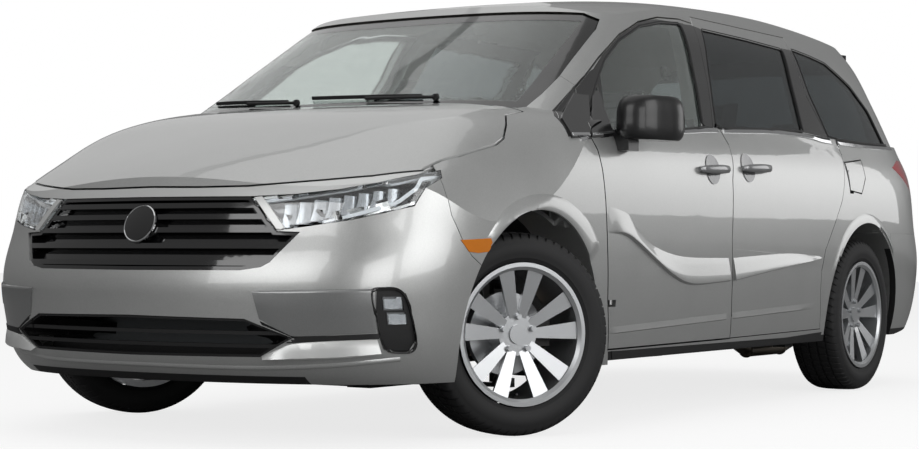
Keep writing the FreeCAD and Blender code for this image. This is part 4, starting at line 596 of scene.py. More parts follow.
@dataclass(frozen=True)
class PhotoCamera:
    """The camera fitted to the photograph."""

    place: Vector = field(default_factory=lambda: Vector((4.527, -7.628, 0.627)))
    yaw: float = math.radians(-33.33)
    pitch: float = math.radians(0.94)
    roll: float = math.radians(0.25)
    focal_pixels: float = 2032.5
    centre: Point = (437.2, 220.5)
    width: int = 919
    height: int = 449
    sensor_mm: float = 36.0

    def axes(self) -> tuple[Vector, Vector, Vector]:
        """Give the camera's right, up and forward directions."""
        forward = Vector(
            (
                math.sin(self.yaw) * math.cos(self.pitch), math.cos(self.yaw) * math.cos(self.pitch),
                math.sin(self.pitch)
            )
        )
        right = forward.cross(Vector((0, 0, 1))).normalized()
        up = right.cross(forward)
        turned_right = right * math.cos(self.roll) + up * math.sin(self.roll)
        turned_up = -right * math.sin(self.roll) + up * math.cos(self.roll)
        return turned_right, turned_up, forward

    def ray(self, across: float, down: float) -> tuple[Vector, Vector]:
        """Give the start and direction of the sight line through a point of the photograph."""
        right, up, forward = self.axes()
        line = forward + right * ((across - self.centre[0]) / self.focal_pixels)
        line -= up * ((down - self.centre[1]) / self.focal_pixels)
        return self.place.copy(), line.normalized()

    def build(self) -> None:
        """Make the camera and set it for the scene."""
        data = bpy.data.cameras.new("photo_camera")
        data.sensor_width = self.sensor_mm
        data.lens = self.focal_pixels * self.sensor_mm / self.width
        data.shift_x = (self.width / 2 - self.centre[0]) / self.width
        data.shift_y = (self.centre[1] - self.height / 2) / self.width
        data.clip_end = 200
        camera = bpy.data.objects.new("photo_camera", data)
        right, up, forward = self.axes()
        turn = Matrix((right, up, -forward)).transposed()
        camera.matrix_world = Matrix.Translation(self.place) @ turn.to_4x4()
        bpy.context.scene.collection.objects.link(camera)
        bpy.context.scene.camera = camera


@dataclass
class Studio:
    """The plain pale floor, the world and the soft lamps."""

    half_floor: float = 40.0
    floor_colour: str = "#7e7e7e"
    floor_glow: float = 0.79
    world_strength: float = 0.55
    lamps: tuple[
        tuple[str, tuple[float, float, float], tuple[float, float, float], float, float, float], ...
    ] = (
        ("roof_softbox", (-0.3, -0.6, 6.5), (0.0, 0.0, 0.0), 8.0, 8.0, 105.0),
        ("left_softbox", (8.0, -0.8, 3.2), (0.0, 0.0, 0.9), 5.0, 5.0, 210.0),
        ("front_softbox", (0.5, -9.0, 3.6), (0.0, -1.5, 0.8), 6.0, 4.0, 180.0),
        ("corner_softbox", (7.8, -5.8, 1.9), (0.9, -2.2, 0.6), 3.4, 3.4, 100.0),
        ("shoulder_softbox", (5.9, 9.2, 2.6), (1.0, 0.0, 1.0), 5.6, 3.3, 86.0),
        ("far_softbox", (-7.5, 5.0, 6.4), (-0.4, -2.0, 0.9), 9.0, 7.0, 75.0),
    )

    def floor(self) -> None:
        """Make the floor, which is white where it is seen and pale where it lights."""
        mesh = bpy.data.meshes.new("studio_floor")
        far = self.half_floor
        mesh.from_pydata(
            [(-far, -far, 0), (far, -far, 0), (far, far, 0), (-far, far, 0)], [], [(0, 1, 2, 3)]
        )
        floor = bpy.data.objects.new("studio_floor", mesh)
        bpy.context.scene.collection.objects.link(floor)
        material = bpy.data.materials.new("pale_studio_floor")
        material.use_nodes = True
        tree = material.node_tree
        tree.nodes.clear()
        place = add_node(tree, "ShaderNodeTexCoord").outputs["Object"]
        grain = add_node(tree, "ShaderNodeTexNoise", {"Scale": 3.0, "Detail": 4.0}, {"Vector": place})
        rough = add_node(
            tree, "ShaderNodeMapRange", {"To Min": 0.75, "To Max": 0.85}, {"Value": grain.outputs["Fac"]}
        )
        shade = add_node(
            tree,
            "ShaderNodeBsdfPrincipled",
            {"Base Color": linear(self.floor_colour)},
            {"Roughness": rough.outputs[0]},
        )
        path = add_node(tree, "ShaderNodeLightPath").outputs
        seen = add_node(
            tree, "ShaderNodeMath", {"operation": "MAXIMUM"}, {
                0: path["Is Camera Ray"], 1: path["Is Transmission Ray"]
            }
        ).outputs[0]
        level = add_node(
            tree, "ShaderNodeMath", {"operation": "MULTIPLY", 1: self.floor_glow}, {0: seen}
        ).outputs[0]
        white = add_node(tree, "ShaderNodeEmission", {"Color": (1, 1, 1, 1)}, {"Strength": level})
        both = add_node(tree, "ShaderNodeAddShader", {}, {0: shade.outputs[0], 1: white.outputs[0]})
        add_node(tree, "ShaderNodeOutputMaterial", {}, {"Surface": both.outputs[0]})
        mesh.materials.append(material)

    def world(self) -> None:
        """Make the world: white where it is seen, a soft grey sky where it lights."""
        world = bpy.data.worlds.new("studio_world")
        bpy.context.scene.world = world
        world.use_nodes = True
        tree = world.node_tree
        tree.nodes.clear()
        path = add_node(tree, "ShaderNodeLightPath").outputs
        seen = add_node(
            tree, "ShaderNodeMath", {"operation": "MAXIMUM"}, {
                0: path["Is Camera Ray"], 1: path["Is Transmission Ray"]
            }
        ).outputs[0]
        look = add_node(tree, "ShaderNodeTexCoord").outputs["Generated"]
        level = add_node(tree, "ShaderNodeSeparateXYZ", {}, {0: look}).outputs[2]
        sky = add_node(
            tree, "ShaderNodeMapRange", {
                "From Min": -0.1, "From Max": 0.9, "To Min": 0.24, "To Max": 0.62
            }, {"Value": level}
        ).outputs[0]
        light = add_node(tree, "ShaderNodeBackground", {}, {"Color": sky})
        light.inputs["Strength"].default_value = self.world_strength
        white = add_node(tree, "ShaderNodeBackground", {"Color": (1, 1, 1, 1), "Strength": 1.0})
        mix = add_node(tree, "ShaderNodeMixShader", {}, {0: seen, 1: light.outputs[0], 2: white.outputs[0]})
        add_node(tree, "ShaderNodeOutputWorld", {}, {"Surface": mix.outputs[0]})

    def softboxes(self) -> None:
        """Make the soft lamps."""
        for name, place, target, wide, tall, power in self.lamps:
            data = bpy.data.lights.new(name, "AREA")
            data.shape = "RECTANGLE"
            data.size = wide
            data.size_y = tall
            data.energy = power
            lamp = bpy.data.objects.new(name, data)
            lamp.location = place
            lamp.rotation_euler = (Vector(target) - Vector(place)).to_track_quat("-Z", "Y").to_euler()
            lamp.visible_camera = False
            bpy.context.scene.collection.objects.link(lamp)

    def build(self) -> None:
        """Make floor, world and lamps."""
        self.floor()
        self.world()
        self.softboxes()
        bpy.context.scene.view_settings.view_transform = "Standard"


class Skin:
    """The faces of named solids, on which thin pieces are seated."""

    def __init__(self, *names: str) -> None:
        """Collect the solids' faces."""
        places: list[Vector] = []
        faces: list[tuple[int, ...]] = []
        for name in names:
            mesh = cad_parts[name].data
            first = len(places)
            places += [vertex.co.copy() for vertex in mesh.vertices]
            faces += [tuple(first + index for index in face.vertices) for face in mesh.polygons]
        self.tree = BVHTree.FromPolygons(places, faces)

    def hit(self, start: Vector, line: Vector) -> tuple[Vector, Vector] | None:
        """Find where a sight line meets the faces.

        Args:
            start: Where the line starts.
            line: Its direction.

        Returns:
            The place and the normal that looks back along the line, or None.
        """
        place, normal, _, _ = self.tree.ray_cast(start, line)
        if place is None:
            return None
        return place, (normal if normal.dot(line) < 0 else -normal)

    def nearest(self, place: Vector) -> tuple[Vector, Vector]:
        """Find the nearest place on the faces and its normal."""
        found, normal, _, _ = self.tree.find_nearest(place)
        return found, normal

    def seen(self, camera: PhotoCamera, across: float, down: float) -> Vector:
        """Find the place behind a point of the photograph."""
        start, line = camera.ray(across, down)
        found = self.hit(start, line)
        return found[0] if found else self.nearest(start + line * 8.0)[0]

    def front(self, x: float, z: float) -> Vector:
        """Find the place seen from straight in front."""
        found = self.hit(Vector((x, -6, z)), Vector((0, 1, 0)))
        return found[0] if found else self.nearest(Vector((x, -2.4, z)))[0]

    def side(self, y: float, z: float) -> Vector:
        """Find the place seen from the car's left."""
        found = self.hit(Vector((4, y, z)), Vector((-1, 0, 0)))
        return found[0] if found else self.nearest(Vector((0.98, y, z)))[0]

    def behind(self, x: float, z: float) -> Vector:
        """Find the place seen from straight behind."""
        found = self.hit(Vector((x, 6, z)), Vector((0, -1, 0)))
        return found[0] if found else self.nearest(Vector((x, 2.5, z)))[0]


@dataclass
class Shape:
    """Points and faces of one mesh in the making."""

    points: list[Vector] = field(default_factory=list)
    faces: list[tuple[int, ...]] = field(default_factory=list)

    def add(self, other: Shape) -> Shape:
        """Take in another shape and return this one."""
        first = len(self.points)
        self.points += other.points
        self.faces += [tuple(first + index for index in face) for face in other.faces]
        return self

    def moved(self, matrix: Matrix) -> Shape:
        """Give a copy moved by a matrix."""
        return Shape([matrix @ point for point in self.points], list(self.faces))

    def mirrored(self) -> Shape:
        """Give the same shape on the other side of the car."""
        points = [Vector((-point.x, point.y, point.z)) for point in self.points]
        return Shape(points, [tuple(reversed(face)) for face in self.faces])

    def both(self) -> Shape:
        """Give the shape and its mirror image as one."""
        return Shape(list(self.points), list(self.faces)).add(self.mirrored())


def loft(rows: Sequence[Row], ring: bool = False, caps: bool = True) -> Shape:
    """Join rows of points into one skin.

    Args:
        rows: Rows of equally many points.
        ring: True where each row is a closed ring.
        caps: True where the first and last ring are filled.

    Returns:
        The skin.
    """
    count = len(rows[0])
    points = [point.copy() for row in rows for point in row]
    faces: list[tuple[int, ...]] = []
    for upper in range(len(rows) - 1):
        for index in range(count if ring else count - 1):
            after = (index + 1) % count
            a, b = upper * count, (upper + 1) * count
            faces.append((a + index, a + after, b + after, b + index))
    if ring and caps:
        faces.append(tuple(reversed(range(count))))
        faces.append(tuple(range((len(rows) - 1) * count, len(rows) * count)))
    return Shape(points, faces)


def closed_loft(rows: Sequence[Row]) -> Shape:
    """Join closed rings into a closed belt, such as a tyre's skin."""
    shape = loft(rows, ring=True, caps=False)
    count, last = len(rows[0]), (len(rows) - 1) * len(rows[0])
    for index in range(count):
        after = (index + 1) % count
        shape.faces.append((last + index, last + after, after, index))
    return shape


def tube(path: Sequence[Vector], radius: float, sides: int = 8) -> Shape:
    """Sweep a round bar along a path."""
    rings = []
    side = Vector((0, 0, 1))
    for index, place in enumerate(path):
        ahead = path[min(index + 1, len(path) - 1)] - path[max(index - 1, 0)]
        ahead.normalize()
        across = ahead.cross(side)
        if across.length < 0.05:
            across = ahead.cross(Vector((1, 0, 0)))
        across.normalize()
        up = across.cross(ahead).normalized()
        angles = [math.tau * step / sides for step in range(sides)]
        rings.append([place + radius * (math.cos(a) * across + math.sin(a) * up) for a in angles])
    return loft(rings, ring=True)


def turned(profile: Sequence[Point], count: int = 48) -> Shape:
    """Turn a profile about the X axis.

    Args:
        profile: Its points as place along the axis and radius.
        count: The steps round the axis.

    Returns:
        The skin, capped where the profile ends off the axis.
    """
    rings = []
    for along, radius in profile:
        angles = [math.tau * step / count for step in range(count)]
        rings.append([Vector((along, radius * math.cos(a), radius * math.sin(a))) for a in angles])
    return loft(rings, ring=True)


def resampled(line: Sequence[Any], count: int) -> list[Vector]:
    """Spread points evenly along a line of corners."""
    corners = [Vector(corner) for corner in line]
    lengths = [0.0]
    for start, end in zip(corners, corners[1:]):
        lengths.append(lengths[-1] + (end - start).length)
    result = []
    for step in range(count):
        at = lengths[-1] * step / (count - 1)
        index = max(i for i in range(len(lengths) - 1) if lengths[i] <= at + 1e-9)
        run = lengths[index + 1] - lengths[index]
        share = (at - lengths[index]) / run if run else 0.0
        result.append(corners[index].lerp(corners[index + 1], min(share, 1.0)))
    return result


def eased(line: Sequence[Any], count: int) -> list[Vector]:
    """Spread points along a smooth curve through the corners."""
    corners = [Vector(corner) for corner in line]
    padded = [corners[0] * 2 - corners[1], *corners, corners[-1] * 2 - corners[-2]]
    fine = []
    for index in range(1, len(padded) - 2):
        p0, p1, p2, p3 = padded[index - 1 : index + 3]
        for step in range(12):
            t = step / 12
            fine.append(
                0.5 * (
                    2 * p1 + (p2 - p0) * t + (
                        2 * p0 - 5 * p1 + 4 * p2 - p3
                    ) * t**2 + (3 * p1 - p0 - 3 * p2 + p3) * t**3
                )
            )
    fine.append(corners[-1])
    return resampled(fine, count)


def plate(places: Sequence[Row], normals: Sequence[Row], lift: float, depth: float) -> Shape:
    """Make a closed plate that follows a surface.

    Args:
        places: Rows of places on the surface.
        normals: The normal at each place.
        lift: How far its outer face stands off the surface.
        depth: Its thickness.

    Returns:
        The plate.
    """
    outer = [[p + n * lift for p, n in zip(row, side)] for row, side in zip(places, normals)]
    inner = [[p + n * (lift - depth) for p, n in zip(row, side)] for row, side in zip(places, normals)]
    rings = []
    for top, bottom in zip(outer, inner):
        rings.append([*top, *reversed(bottom)])
    return loft(rings, ring=True)


# Sections of pressed forms: the share of the way across, and the height in metres.
SWEPT_RIDGE = (
    (0.0, 0.0), (0.05, 0.0012), (0.30, 0.0050), (0.65, 0.0100),
    (0.86, 0.0132), (0.93, 0.0130), (0.97, 0.0085), (1.0, 0.0)
)
SILL_CREASE = ((0.0, 0.0), (0.45, 0.0014), (0.85, 0.0030), (1.0, 0.0))
ARCH_FLARE = ((0.0, 0.0), (0.10, 0.0020), (0.20, 0.0036), (0.60, 0.0056), (0.90, 0.0066), (1.0, 0.0050))
PRESSED_IN = ((0.0, 0.0), (0.03, 0.0050), (0.07, 0.0056), (0.5, 0.0036), (1.0, 0.0002))
TILTED_BLADE = ((0.0, 0.002), (0.04, 0.004), (0.50, 0.012), (0.92, 0.020), (1.0, 0.018))
RAISED_LIP = ((0.0, 0.0), (0.35, 0.0030), (0.70, 0.0040), (1.0, 0.0010))


@dataclass
class Maker:
    """Turns shapes into pieces that ride on the van."""

    dresser: Dresser
    camera: PhotoCamera

    def piece(
        self,
        name: str,
        shape: Shape,
        finish: Finish,
        body: str,
        slot: str,
        zones: Sequence[Zone] = (),
        bevel: float = 0.0,
        rounded: int = 0,
        angle: float = 35.0,
    ) -> bpy.types.Object:
        """Make one piece.

        Args:
            name: Its name.
            shape: Its mesh.
            finish: Its material's finish.
            body: The body that it rides on.
            slot: The record's material slot; not used.
            zones: Zones of other finishes.
            bevel: The width of its rounded edges in metres.
            rounded: Levels of subdivision.
            angle: The angle in degrees above which an edge stays sharp.

        Returns:
            The piece.
        """
        mesh = bpy.data.meshes.new(name)
        mesh.from_pydata([tuple(point) for point in shape.points], [], shape.faces)
        work = bmesh.new()
        work.from_mesh(mesh)
        bmesh.ops.recalc_face_normals(work, faces=work.faces)
        work.to_mesh(mesh)
        work.free()
        mesh.shade_smooth()
        mesh.set_sharp_from_angle(angle=math.radians(angle))
        piece = bpy.data.objects.new(name, mesh)
        bpy.context.scene.collection.objects.link(piece)
        if bevel:
            edge = piece.modifiers.new("rounded_edges", "BEVEL")
            edge.width = bevel
            edge.segments = 2
            edge.limit_method = "ANGLE"
        if rounded:
            smooth = piece.modifiers.new("subdivision", "SUBSURF")
            smooth.levels = rounded
            smooth.render_levels = rounded
        mesh.materials.append(self.dresser.material(finish, zones))
        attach(piece, body)
        LOG.info("%s: %s on %s", name, finish.name, body)
        return piece

    def patch(
        self,
        skin: Skin,
        upper: Sequence[Point],
        lower: Sequence[Point],
        lift: float,
        depth: float,
        along: int = 24,
        across: int = 4,
        look: Callable[[Point], Vector] | None = None,
        smooth: bool = False,
    ) -> Shape:
        """Make a plate between two lines seen in the photograph, or in another view.

        Args:
            skin: The surface that carries it.
            upper: One long edge.
            lower: The other long edge, in the same direction.
            lift: How far it stands off the surface.
            depth: Its thickness.
            along: Points along the edges.
            across: Points between the edges.
            look: Gives the place for a point; by default the photograph's view.
            smooth: True for curved edges.

        Returns:
            The plate.
        """
        spread = eased if smooth else resampled
        top, bottom = spread(upper, along), spread(lower, along)
        find = look or (lambda point: skin.seen(self.camera, point[0], point[1]))
        places, normals = [], []
        for start, end in zip(top, bottom):
            row = [find(start.lerp(end, step / (across - 1))) for step in range(across)]
            places.append(row)
            normals.append([self.outward(skin, place) for place in row])
        return plate(places, normals, lift, depth)

    def ridge(
        self,
        skin: Skin,
        upper: Sequence[Point],
        lower: Sequence[Point],
        profile: Sequence[Point],
        along: int = 48,
        look: Callable[[Point], Vector] | None = None,
        fade: tuple[float, float] = (0.0, 0.0),
    ) -> Shape:
        """Make a pressed form between two lines, with its own section and fading ends.

        Args:
            skin: The surface that carries it.
            upper: One long edge.
            lower: The other long edge, in the same direction.
            profile: The section, as the share of the way across and the height.
            along: Points along the edges.
            look: Gives the place for a point; by default the photograph's view.
            fade: The shares of the length over which it rises at its two ends.

        Returns:
            The form.
        """
        top, bottom = eased(upper, along), eased(lower, along)
        find = look or (lambda point: skin.seen(self.camera, point[0], point[1]))
        rings = []
        for index, (start, end) in enumerate(zip(top, bottom)):
            share = index / (along - 1)
            rise = 1.0
            for at, length in ((share, fade[0]), (1 - share, fade[1])):
                if length and at < length:
                    rise *= math.sin(math.pi / 2 * at / length) ** 2
            ring, under = [], []
            for across, height in profile:
                place = find(start.lerp(end, across))
                normal = self.outward(skin, place)
                ring.append(place + normal * (0.0004 + height * rise))
                under.append(place - normal * 0.0015)
            rings.append([*ring, *reversed(under)])
        return loft(rings, ring=True)

    def outward(self, skin: Skin, place: Vector) -> Vector:
        """Give the surface's normal that points away from the car."""
        _, normal = skin.nearest(place)
        away = Vector((place.x, place.y * 0.25, place.z - 0.8))
        return normal if normal.dot(away) > 0 else -normal


@dataclass
class Nose:
    """Lamps, grille trim, bright blades, markers and wipers at the front."""

    maker: Maker
    lens_upper: tuple[Point, ...] = (
        (253, 198), (290, 193.5), (340, 185), (385, 176.5), (425, 170), (447, 168)
    )
    lens_lower: tuple[Point, ...] = (
        (268, 233), (307, 233.5), (332, 226.5), (380, 215), (425, 201), (443, 180)
    )
    guide_upper: tuple[Point, ...] = (
        (283, 230), (263, 200), (300, 195), (345, 188.5), (390, 180), (424, 173.5), (417, 188), (398, 202),
        (352, 215), (322, 222)
    )
    guide_width: float = 4.0
    cell_count: int = 8
    ring_radius: float = 0.066
    fog_bezel: tuple[Point, ...] = (
        (371, 291), (376, 288.5), (386, 288), (396, 288.5), (404, 294),
        (409, 306), (413, 322), (416, 338), (415.5, 347),
        (410, 352), (398, 352.5), (389, 351), (383, 346), (379, 332), (375, 315), (371.5, 300), (371, 291),
    )
    fog_lenses: tuple[tuple[float, float, float, float], ...] = (
        (381, 297, 401, 308), (385, 312, 405, 323.5)
    )
    emblem_lean: float = -0.36

    def deep(self, skin: Skin, place: Any, depth: float) -> Vector:
        """Find the place at a depth behind a point of the photograph."""
        found = skin.seen(self.maker.camera, place[0], place[1])
        return found - self.maker.outward(skin, found) * depth

    def headlamps(self) -> None:
        """Make lens, bezel, light guide and reflector cells of both headlamps."""
        make = self.maker
        skin = Skin("headlamps")
        lens = make.patch(skin, self.lens_upper, self.lens_lower, 0.0, 0.003, 40, 10)
        lens_piece = make.piece("headlamp_lenses", lens.both(), LAMP_LENS, "body", "lamp_lens")
        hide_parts("headlamps")
        back = make.patch(skin, self.lens_upper, self.lens_lower, -0.044, 0.002, 40, 10)
        make.piece("headlamp_housings", back.both(), BLACK_GLOSS, "body", "black_gloss")
        frame_upper = [(x, y + 2.0) for x, y in self.lens_upper]
        bezel = make.patch(skin, self.lens_upper, frame_upper, -0.005, 0.030, 40, 3)
        foot = [(x, y - 3.0) for x, y in self.lens_lower]
        bezel.add(make.patch(skin, foot, self.lens_lower, -0.006, 0.030, 40, 3))
        make.piece("headlamp_bezels", bezel.both(), SATIN_CHROME, "body", "bright_trim")
        around_lamp = Skin("headlamps", "upper_grille", "upper_bar", "front_bumper")
        wedge = make.patch(
            around_lamp, ((254.5, 197.5), (265, 213), (278, 231.5)),
            ((262.5, 196.5), (273, 210.5), (285, 228)), 0.004, 0.007, 20, 4
        )
        make.piece("headlamp_inner_trims", wedge.both(), SATIN_TRIM, "body", "bright_trim", bevel=0.001)
        line = resampled(self.guide_upper, 60)
        rows = []
        for index, place in enumerate(line):
            ahead = line[min(index + 1, 59)] - line[max(index - 1, 0)]
            across = Vector((-ahead.y, ahead.x)).normalized() * self.guide_width / 2
            corners = (
                (place - across, 0.010), (place + across, 0.010), (place + across, 0.020),
                (place - across, 0.020)
            )
            rows.append([self.deep(skin, corner, depth) for corner, depth in corners])
        guide = loft(rows, ring=True)
        make.piece("headlamp_light_guides", guide.both(), LIGHT_GUIDE, "body", "lamp_lens", bevel=0.001)
        cells = Shape()
        for number in range(self.cell_count):
            share = number / self.cell_count
            left, wide = 284 + 120 * share, 120 / self.cell_count * 0.96
            top, low = 203 - 18 * share, 226 - 24 * share
            rows = []
            for step in range(7):
                turn = math.pi / 2 * step / 6
                across = left + wide * math.sin(turn)
                depth = 0.014 + 0.024 * (1 - math.cos(turn))
                lean = 5 * (1 - step / 6)
                rows.append(
                    [
                        self.deep(
                            skin, (across - lean * (s / 5) ** 2, top + (low - top) * s / 5), depth
                        ) for s in range(6)
                    ]
                )
            front = loft(rows)
            cells.add(front)
            wall = [
                [
                    self.deep(skin, (left + wide, top + (low - top) * s / 5), d) for s in range(6)
                ] for d in (0.012, 0.038)
            ]
            cells.add(loft(wall))
        make.piece("headlamp_reflector_cells", cells.both(), REFLECTOR, "body", "bright_trim")

    def grille(self) -> None:
        """Make the ring and the bare face of the emblem plinth."""
        make = self.maker
        skin = Skin("front_bumper", "upper_bar", "upper_grille")
        centre = skin.front(0.0, 0.724) - Vector((0, 0.010, 0))
        profile = (
            (0.004, self.ring_radius - 0.009), (0.0, self.ring_radius - 0.007),
            (-0.003, self.ring_radius - 0.003), (0.0, self.ring_radius), (0.006, self.ring_radius + 0.001)
        )
        ring = turned([(-a, r) for a, r in profile], 64)
        ring.faces = [face for face in ring.faces if len(face) == 4]
        dome = turned(
            [
                (0.002, self.ring_radius - 0.006), (0.004, self.ring_radius * 0.7),
                (0.006, self.ring_radius * 0.35), (0.0065, 0.0005)
            ],
            64
        )
        place = Matrix.Translation(centre) @ Matrix.Rotation(-math.pi / 2, 4, "Z") @ Matrix.Rotation(
            self.emblem_lean, 4, "Y"
        )
        make.piece("emblem_plinth_ring", ring.moved(place), BRIGHT_CHROME, "body", "bright_trim")
        make.piece("emblem_plinth_face", dome.moved(place), BLACK_GLOSS, "body", "black_gloss")

    def bumper_trim(self) -> None:
        """Make the bright blades, the lower lip and the amber markers."""
        make = self.maker
        skin = Skin("front_bumper", "front_fenders", "lower_grilles")
        blade = make.ridge(
            skin, ((262, 356), (278, 349.5), (294, 343.5), (335, 341), (377, 339.5)),
            ((264, 357.5), (282, 357.4), (300, 357.2), (340, 356), (380, 353)), TILTED_BLADE
        )
        make.piece("bumper_blades", blade.both(), SATIN_TRIM, "body", "bright_trim", bevel=0.002)
        recess = make.ridge(
            skin, (
                (252, 291), (300, 290), (340, 289.5), (372, 289)
            ), ((259, 319), (292, 336), (335, 335), (379, 333)), PRESSED_IN
        )
        # The recesses carry the silver paint darkened as painted shade.
        make.piece("bumper_recesses", recess.both(), SILVER_WITH_PAINTED_SHADE, "body", "body_paint", angle=50)
        # A black sheet as painted shadow between the recesses and the blades.
        blade_shadow_sheet = make.patch(
            skin, (
                (260, 321), (292, 336.5), (335, 335.5), (379, 333.5)
            ), ((262, 342), (292, 343), (335, 340.5), (379, 339)), 0.003, 0.005, 30, 4
        )
        make.piece("bumper_blade_shadows", blade_shadow_sheet.both(), BLACK_PLASTIC, "body", "black_plastic")
        rims = []
        bezel = eased(self.fog_bezel, 73)[:-1]
        middle = sum(bezel, Vector((0, 0))) / len(bezel)
        for corner in bezel:
            ring = []
            for share, lift in (
                (1.04, -0.004), (1.03, 0.004), (0.99, 0.007), (0.94, 0.006), (0.92, -0.004)
            ):
                place = skin.seen(make.camera, *(middle + (corner - middle) * share))
                ring.append(place + make.outward(skin, place) * lift)
            rims.append(ring)
        make.piece(
            "fog_lamp_bezels", closed_loft(rims).both(), BLACK_GLOSS, "body", "black_gloss", angle=60
        )
        lenses = Shape()
        lamps = Skin("fog_lamps")
        for left, top, right, low in self.fog_lenses:
            upper = ((left, top), ((left + right) / 2, top - 0.8), (right, top + 0.4))
            lower = ((left + 1.2, low), ((left + right) / 2 + 1.2, low + 0.8), (right + 1.2, low))
            lenses.add(make.patch(lamps, upper, lower, 0.004, 0.004, 16, 6))
        make.piece("fog_lamp_lenses", lenses.both(), LAMP_LENS, "body", "lamp_lens", bevel=0.001)
        lip = make.ridge(
            skin, ((22, 350), (60, 357.5), (150, 362.5), (250, 366), (330, 363.5), (400, 357)),
            ((22, 353), (60, 361), (150, 366.5), (250, 370), (330, 368), (400, 361.5)), RAISED_LIP
        )
        make.piece("bumper_lip_edge", lip, SILVER_PAINT, "body", "body_paint", angle=50)
        beside = lambda point: skin.side(point[0], point[1])
        marker = make.patch(
            skin, ((-2.052, 0.673), (-1.96, 0.677), (-1.868, 0.682)),
            ((-2.015, 0.634), (-1.97, 0.630), (-1.918, 0.634)), 0.0025, 0.004, 16, 6, beside
        )
        make.piece("side_markers", marker.both(), AMBER_LENS, "body", "lamp_lens", bevel=0.001)

    def wipers(self) -> None:
        """Make the two wiper arms with their blades."""
        make = self.maker
        skin = Skin("windshield")
        arms = Shape()
        for pivot, tip in (((0.50, 1.178), (0.02, 1.186)), ((-0.08, 1.174), (-0.52, 1.190))):
            path = []
            for step in range(15):
                share = step / 14
                place = skin.front(
                    pivot[0] + (tip[0] - pivot[0]) * share, pivot[1] + (tip[1] - pivot[1]) * share
                )
                path.append(place + self.maker.outward(skin, place) * (0.016 - 0.004 * share))
            arms.add(tube(path[:9], 0.006, 8))
            blade = []
            for step in range(21):
                share = 0.12 + 1.00 * step / 20
                place = skin.front(
                    pivot[0] + (tip[0] - pivot[0]) * share, pivot[1] + 0.012 + (tip[1] - pivot[1]) * share
                )
                up = self.maker.outward(skin, place)
                blade.append(
                    [
                        place + up * lift + Vector((0, 0, dz)) for lift,
                        dz in ((0.001, 0.0), (0.010, -0.006), (0.014, 0.0), (0.010, 0.006))
                    ]
                )
            arms.add(loft(blade, ring=True))
            arms.add(
                turned([(0, 0.012), (0.012, 0.014), (0.016, 0.010), (0.018, 0.002)], 20).moved(
                    Matrix.Translation(path[0]) @ Matrix.Rotation(math.pi / 2, 4, "Z")
                )
            )
        make.piece("windscreen_wipers", arms, BLACK_PLASTIC, "body", "black_plastic")

    def build(self) -> None:
        """Make every nose piece."""
        self.headlamps()
        self.grille()
        self.bumper_trim()
        self.wipers()


